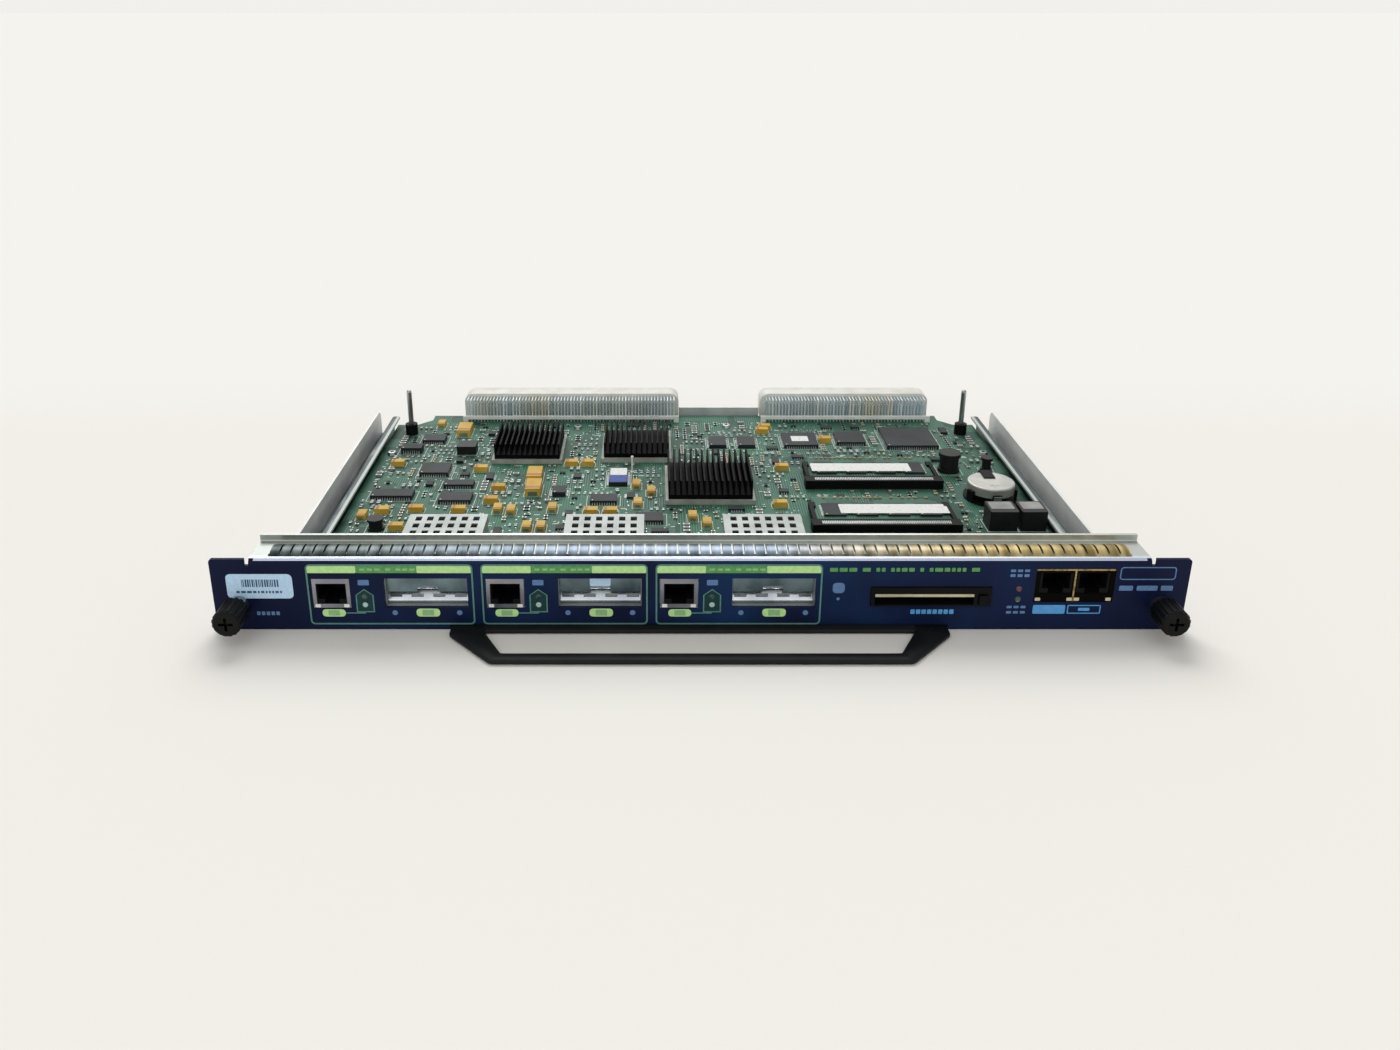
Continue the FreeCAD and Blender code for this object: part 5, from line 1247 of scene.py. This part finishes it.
def threaded_screw(side):
    """A captive screw with its thread, in place of the plain one."""
    low, high = corners(side + "_screw")
    crest = (high.x - low.x) / 2
    base = Vector(((low.x + high.x) / 2, low.y, (low.z + high.z) / 2))
    length = high.y - low.y
    place = corners(side + "_retainer")[1].y + THREAD_CLEAR - low.y
    profile = [(0, 0), (NECK, 0), (NECK, place), (THREAD_ROOT, place)]
    while place + THREAD_PITCH < length - THREAD_END:
        profile += [(crest, place + THREAD_PITCH * flank) for flank in THREAD_FLANKS]
        place += THREAD_PITCH
        profile.append((THREAD_ROOT, place))
    profile += [(crest - THREAD_END, length), (0, length)]
    screw = bmesh.new()
    turned(screw, profile, base, Y, THREAD_STEPS)
    piece(side + "_threaded_screw", screw, "screw_steel", body=side + "_captive_screw",
          stands_for=(side + "_screw",), smooth=True)


RECESS_ARM = 0.42
RECESS_DEPTH = 0.8
RECESS_HALF = 0.55      # the cross is cut from a square with this share of the flat as half its side
RECESS_INNER = 0.4      # and lines of the square within this share become the sides of its arms
HEAD_ROLL = 0.05


def crossed_head(bm, centre, radius, rim, foot, way):
    """A screw head: a flat top with a cross recess, spread to a round rim, closed down to the foot."""
    centre = Vector(centre)
    made = bmesh.ops.create_grid(bm, x_segments=3, y_segments=3, size=radius * RECESS_HALF)["verts"]
    for vert in made:
        for axis in (X, Y):
            if abs(vert.co[axis]) < radius * RECESS_INNER:
                vert.co[axis] = math.copysign(RECESS_ARM, vert.co[axis])
    bmesh.ops.translate(bm, vec=centre, verts=made)
    faces = {face for vert in made for face in vert.link_faces}
    arms = []
    for face in faces:
        middle = face.calc_center_median() - centre
        if min(abs(middle.x), abs(middle.y)) < RECESS_ARM / 2:
            arms.append(face)
    loop = [edge for edge in {edge for face in faces for edge in face.edges} if edge.is_boundary]
    sunk = bmesh.ops.extrude_face_region(bm, geom=arms)["geom"]
    bmesh.ops.delete(bm, geom=[face for face in arms if face.is_valid], context="FACES_ONLY")
    bmesh.ops.translate(bm, vec=(0, 0, -way * RECESS_DEPTH), verts=only(sunk, BMVert))
    for spread, height in ((radius, -way * HEAD_ROLL), (rim, foot - centre.z)):
        grown = bmesh.ops.extrude_edge_only(bm, edges=loop)["geom"]
        for vert in only(grown, BMVert):
            out = (vert.co - centre).xy.normalized() * spread
            vert.co = centre + Vector((out.x, out.y, height))
        loop = only(grown, BMEdge)
    bmesh.ops.edgeloop_fill(bm, edges=loop)


SHANK_GAP = 0.02
SHANK = 0.53            # from here on shares of a head's radius
PAN_FLAT = 0.8
SUNK_FLAT = 0.97
SUNK_FOOT = 0.54
SUNK_DEPTH = 0.46
SUNK_SHANK = 0.47


def screw_heads():
    """Cross-recessed pan heads on the board, and countersunk heads under the handle."""
    pans, sunk = bmesh.new(), bmesh.new()
    for low, high in solids("board_screws"):
        x, y = ((low + high) / 2).xy
        rim = (high.x - low.x) / 2
        crossed_head(pans, (x, y, high.z), rim * PAN_FLAT, rim, BOARD_TOP, 1)
        disc(pans, (x, y, low.z), rim * SHANK, BOARD_TOP - low.z - SHANK_GAP)
    piece("board_screw_heads", pans, "screw_steel", stands_for=("board_screws",))
    for low, high in solids("handle_screws"):
        x, y = ((low + high) / 2).xy
        rim = (high.x - low.x) / 2
        start = rim * SUNK_SHANK
        crossed_head(sunk, (x, y, low.z), rim * SUNK_FLAT, rim * SUNK_FOOT, low.z + rim * SUNK_DEPTH, -1)
        disc(sunk, (x, y, low.z + start), rim * SHANK, high.z - low.z - start)
    piece("handle_screw_heads", sunk, "screw_steel", stands_for=("handle_screws",))


# Pull handle: the ends of its opening lean inward to the front, and its front bar is the slimmer one

HANDLE_HOLE = (97.0, -23.5, 0.3)    # half width, front and rear limit of what bounds the opening
HANDLE_MIDDLE = -11.0
HANDLE_REAR_STEP = -3.4
HANDLE_FRONT_STEP = -1.0
HANDLE_LEAN = 0.191
HANDLE_SPREAD = 2.1


def leaning_handle():
    """The pull handle with the leaning ends of its opening, in place of the plainer one."""
    plate = bmesh.new()
    plate.from_mesh(frame["nodes"]["pull_handle"].data)
    bmesh.ops.translate(plate, vec=(0, -FACE_Y, 0), verts=plate.verts)
    bmesh.ops.scale(plate, vec=(1 / MM, 1 / MM, 1 / MM), verts=plate.verts)
    bmesh.ops.remove_doubles(plate, verts=plate.verts, dist=MERGE)
    half, front, rear = HANDLE_HOLE
    hole = [vert for vert in plate.verts if abs(vert.co.x) < half and front < vert.co.y < rear]
    behind = [vert for vert in hole if vert.co.y > HANDLE_MIDDLE]
    before = [vert for vert in hole if vert.co.y <= HANDLE_MIDDLE]
    bmesh.ops.translate(plate, vec=(0, HANDLE_REAR_STEP, 0), verts=behind)
    bmesh.ops.translate(plate, vec=(0, HANDLE_FRONT_STEP, 0), verts=before)
    for side in (-1, 1):
        lean = Matrix()
        lean[X][Y] = side * HANDLE_LEAN
        lean[X][3] = side * HANDLE_SPREAD
        bmesh.ops.transform(plate, matrix=lean, verts=[vert for vert in hole if vert.co.x * side > 0])
    piece("leaning_handle", plate, "handle_black", stands_for=("pull_handle",), smooth=True)


# Backplane connectors: shrouds that are open behind, and contact openings in the recessed mating face

SHROUD_ROUND = 5.5
SHROUD_STEPS = 8
SHROUD_EDGE = 0.3
SHROUD_EDGE_STEPS = 2
SHROUD_SHARP = 1.0      # edges that turn by more radians than this get a small round
FACE_WALL = 2.1
FACE_RECESS = 5.5
FACE_PROUD = 1.5
OPENING_PITCH = 2.0
OPENING_ROWS = 5
OPENING_WALL = 0.45
OPENING_FLOOR = 0.05    # thickness left under the openings


def connector_shrouds():
    """Beige shrouds with round shoulders, open behind, in place of the plainer ones."""
    for side in SIDES:
        low, high = corners(side + "_backplane_connector")
        middle = (low.z + high.z) / 2
        shroud = bmesh.new()
        slab(shroud, low, high)
        shoulders = []
        for edge in shroud.edges:
            start, end = (vert.co for vert in edge.verts)
            if start.y != end.y and start.z > middle:
                shoulders.append(edge)
        rounded(shroud, shoulders, SHROUD_ROUND, SHROUD_STEPS)
        back = max(shroud.faces, key=lambda face: face.calc_center_median().y)
        bmesh.ops.inset_region(shroud, faces=[back], thickness=FACE_WALL, use_even_offset=True)
        sunk = bmesh.ops.extrude_discrete_faces(shroud, faces=[back])["faces"]
        bmesh.ops.translate(shroud, vec=(0, -FACE_RECESS, 0), verts=verts_of(sunk))
        rims = [edge for edge in shroud.edges if edge.calc_face_angle(0.0) > SHROUD_SHARP]
        rounded(shroud, rims, SHROUD_EDGE, SHROUD_EDGE_STEPS)
        piece(side + "_connector_shroud", shroud, "connector_beige",
              stands_for=(side + "_backplane_connector",), smooth=True)


def mating_faces():
    """A block with rows of square contact openings, in the recess of each shroud."""
    for side in SIDES:
        low, high = corners(side + "_backplane_connector")
        columns = int((high.x - low.x - 2 * FACE_WALL) / OPENING_PITCH)
        sheet = bmesh.new()
        upright_sheet(sheet, low.x + FACE_WALL, high.x - FACE_WALL, low.z + FACE_WALL, high.z - FACE_WALL,
                      high.y - FACE_RECESS + FACE_PROUD, BACK, columns, OPENING_ROWS)
        cells = list(sheet.faces)
        bmesh.ops.inset_individual(sheet, faces=cells, thickness=OPENING_WALL, use_even_offset=True)
        pits = bmesh.ops.extrude_discrete_faces(sheet, faces=cells)["faces"]
        bmesh.ops.translate(sheet, vec=(0, OPENING_FLOOR - FACE_PROUD, 0), verts=verts_of(pits))
        border = [edge for edge in sheet.edges if edge.is_boundary]
        skirt = bmesh.ops.extrude_edge_only(sheet, edges=border)["geom"]
        bmesh.ops.translate(sheet, vec=(0, -FACE_PROUD, 0), verts=only(skirt, BMVert))
        bmesh.ops.edgeloop_fill(sheet, edges=only(skirt, BMEdge))
        piece(side + "_mating_face", sheet, "connector_beige")


# Coin cell and coils

PLUS_PLACE = 6.5        # from the cell's front edge
PLUS_ARM = 2.4
PLUS_HALF = 0.45
PLUS_RISE = 0.12
CELL_CONTACT_HALF = 2.0
CELL_CONTACT_GAP = (0.4, 0.02)
CELL_CONTACT_RISE = 1.8
CELL_CONTACT_CORNER = 0.15


def cell_details():
    """A raised plus on the coin cell's can, and the bright contact that stands before it."""
    low, high = corners("coin_cell")
    x = (low.x + high.x) / 2
    y = low.y + PLUS_PLACE
    mark, contact = bmesh.new(), bmesh.new()
    for half, front, back in ((PLUS_ARM, -PLUS_HALF, PLUS_HALF), (PLUS_HALF, -PLUS_ARM, -PLUS_HALF),
                              (PLUS_HALF, PLUS_HALF, PLUS_ARM)):
        slab(mark, (x - half, y + front, high.z), (x + half, y + back, high.z + PLUS_RISE))
    piece("cell_plus", mark, "cell_steel")
    front = corners("coin_cell_holder")[0].y
    far, near = CELL_CONTACT_GAP
    slab(contact, (x - CELL_CONTACT_HALF, front - far, BOARD_TOP),
         (x + CELL_CONTACT_HALF, front - near, low.z + CELL_CONTACT_RISE), CELL_CONTACT_CORNER, X)
    piece("cell_contact", contact, "jack_metal", SOLDER)


COIL_SHEEN_HEIGHT = 9.0   # only the tall square coils get the painted sheen on their tops
COIL_SHEEN_WIDTH = 12.5
COIL_SHEEN_MARGINS = (1.2, 3.6, 1.0)      # at the sides, in front and behind
COIL_SHEEN_RISE = 0.12
COIL_SHEEN_CORNER = 0.8


def coil_top_sheen():
    """Grey plates on the tops of the tall square coils: a painted reflection of the sky."""
    sheen_plates = bmesh.new()
    side, front, back = COIL_SHEEN_MARGINS
    for low, high in solids("power_coils"):
        if high.z - BOARD_TOP > COIL_SHEEN_HEIGHT and high.x - low.x > COIL_SHEEN_WIDTH:
            slab(sheen_plates, (low.x + side, low.y + front, high.z),
                 (high.x - side, high.y - back, high.z + COIL_SHEEN_RISE), COIL_SHEEN_CORNER)
    piece("coil_top_sheen", sheen_plates, "package_grey", COIL_SHEEN_GREY)


dress_nodes()
port_print()
panel_label()
right_print()
jack_details()
flap_highlight()
card_details()
shield_springs()
chip_legs()
capacitor_ends()
small_parts()
memory_details()
stickers()
test_post()
for side_name in SIDES:
    threaded_screw(side_name)
screw_heads()
leaning_handle()
connector_shrouds()
mating_faces()
cell_details()
coil_top_sheen()


# Stage: a pale floor that turns paler behind the module, soft light and the photograph's camera

FLOOR_SIZE = 40.0           # the floor's measures are in metres
FLOOR_DROP = 0.0002
FLOOR_TURN = (0.10, 0.24)
SKY_TURN = (0.05, 0.45)     # sines of the heights between which the pale wall gives way to the dimmer ceiling
LAMPS = (
    ("key", 1.6, math.radians(40), (-0.1, 0.8, 0.85)),
    ("front_fill", 0.5, math.radians(70), (-0.25, -0.9, 0.75)),
)
CAMERA_PLACE = (-20.4, -432.0, 259.1)
CAMERA_PITCH = math.radians(20.16)
CAMERA_LENS = 29.15
CAMERA_SENSOR = 36.0
CAMERA_SHIFT = (0.034, -0.08)
CAMERA_NEAR = 0.01


def pale_floor():
    """Pale studio paper: matt, a touch paler behind the module."""
    sheet = bmesh.new()
    bmesh.ops.create_grid(sheet, x_segments=1, y_segments=1, size=FLOOR_SIZE / 2)
    mesh = bpy.data.meshes.new("floor")
    sheet.to_mesh(mesh)
    sheet.free()
    made, tree, shader, place = surface("pale_studio_paper", {"Roughness": 1.0, "Specular IOR Level": 0.0})
    depth = add(tree, "SeparateXYZ", {"Vector": place}).outputs["Y"]
    back = add(tree, "MapRange", {"Value": depth, "From Min": FLOOR_TURN[0], "From Max": FLOOR_TURN[1]},
               interpolation_type="SMOOTHSTEP")
    tone = add(tree, "Mix", {FACTOR: back, FIRST: "#F2EFEB", SECOND: "#F5F3F0"}, data_type="RGBA")
    feed(tree, shader, {"Base Color": tone})
    mesh.materials.append(made)
    floor = bpy.data.objects.new("floor", mesh)
    floor.location.z = -FLOOR_DROP
    bpy.context.scene.collection.objects.link(floor)


def soft_light():
    """A pale room with a dimmer ceiling, a wide key light from behind and a wider fill in front."""
    world = bpy.data.worlds.new("studio")
    world.use_nodes = True
    bpy.context.scene.world = world
    tree = world.node_tree
    place = add(tree, "TexCoord", {}).outputs["Generated"]
    sine = add(tree, "SeparateXYZ", {"Vector": place}).outputs["Z"]
    height = add(tree, "MapRange", {"Value": sine, "From Min": SKY_TURN[0], "From Max": SKY_TURN[1]})
    room = add(tree, "Mix", {FACTOR: height, FIRST: "#F2F0EC", SECOND: "#BCBCB9"}, data_type="RGBA")
    feed(tree, tree.nodes["Background"], {"Color": room, "Strength": 1.0})
    for name, energy, angle, source in LAMPS:
        lamp = bpy.data.lights.new(name, "SUN")
        lamp.energy = energy
        lamp.angle = angle
        made = bpy.data.objects.new(name, lamp)
        made.location = source
        made.rotation_euler = (-Vector(source)).to_track_quat("-Z", "Y").to_euler()
        bpy.context.scene.collection.objects.link(made)


def photograph_camera():
    """The camera at the photograph's angle."""
    lens = bpy.data.cameras.new("camera")
    lens.lens = CAMERA_LENS
    lens.sensor_width = CAMERA_SENSOR
    lens.shift_x, lens.shift_y = CAMERA_SHIFT
    lens.clip_start = CAMERA_NEAR
    camera = bpy.data.objects.new("camera", lens)
    camera.location = Vector(CAMERA_PLACE) * MM + Vector((0, FACE_Y, 0))
    camera.rotation_euler = (math.pi / 2 - CAMERA_PITCH, 0, 0)
    bpy.context.scene.collection.objects.link(camera)
    bpy.context.scene.camera = camera


pale_floor()
soft_light()
photograph_camera()
bpy.context.scene.view_settings.view_transform = "Standard"
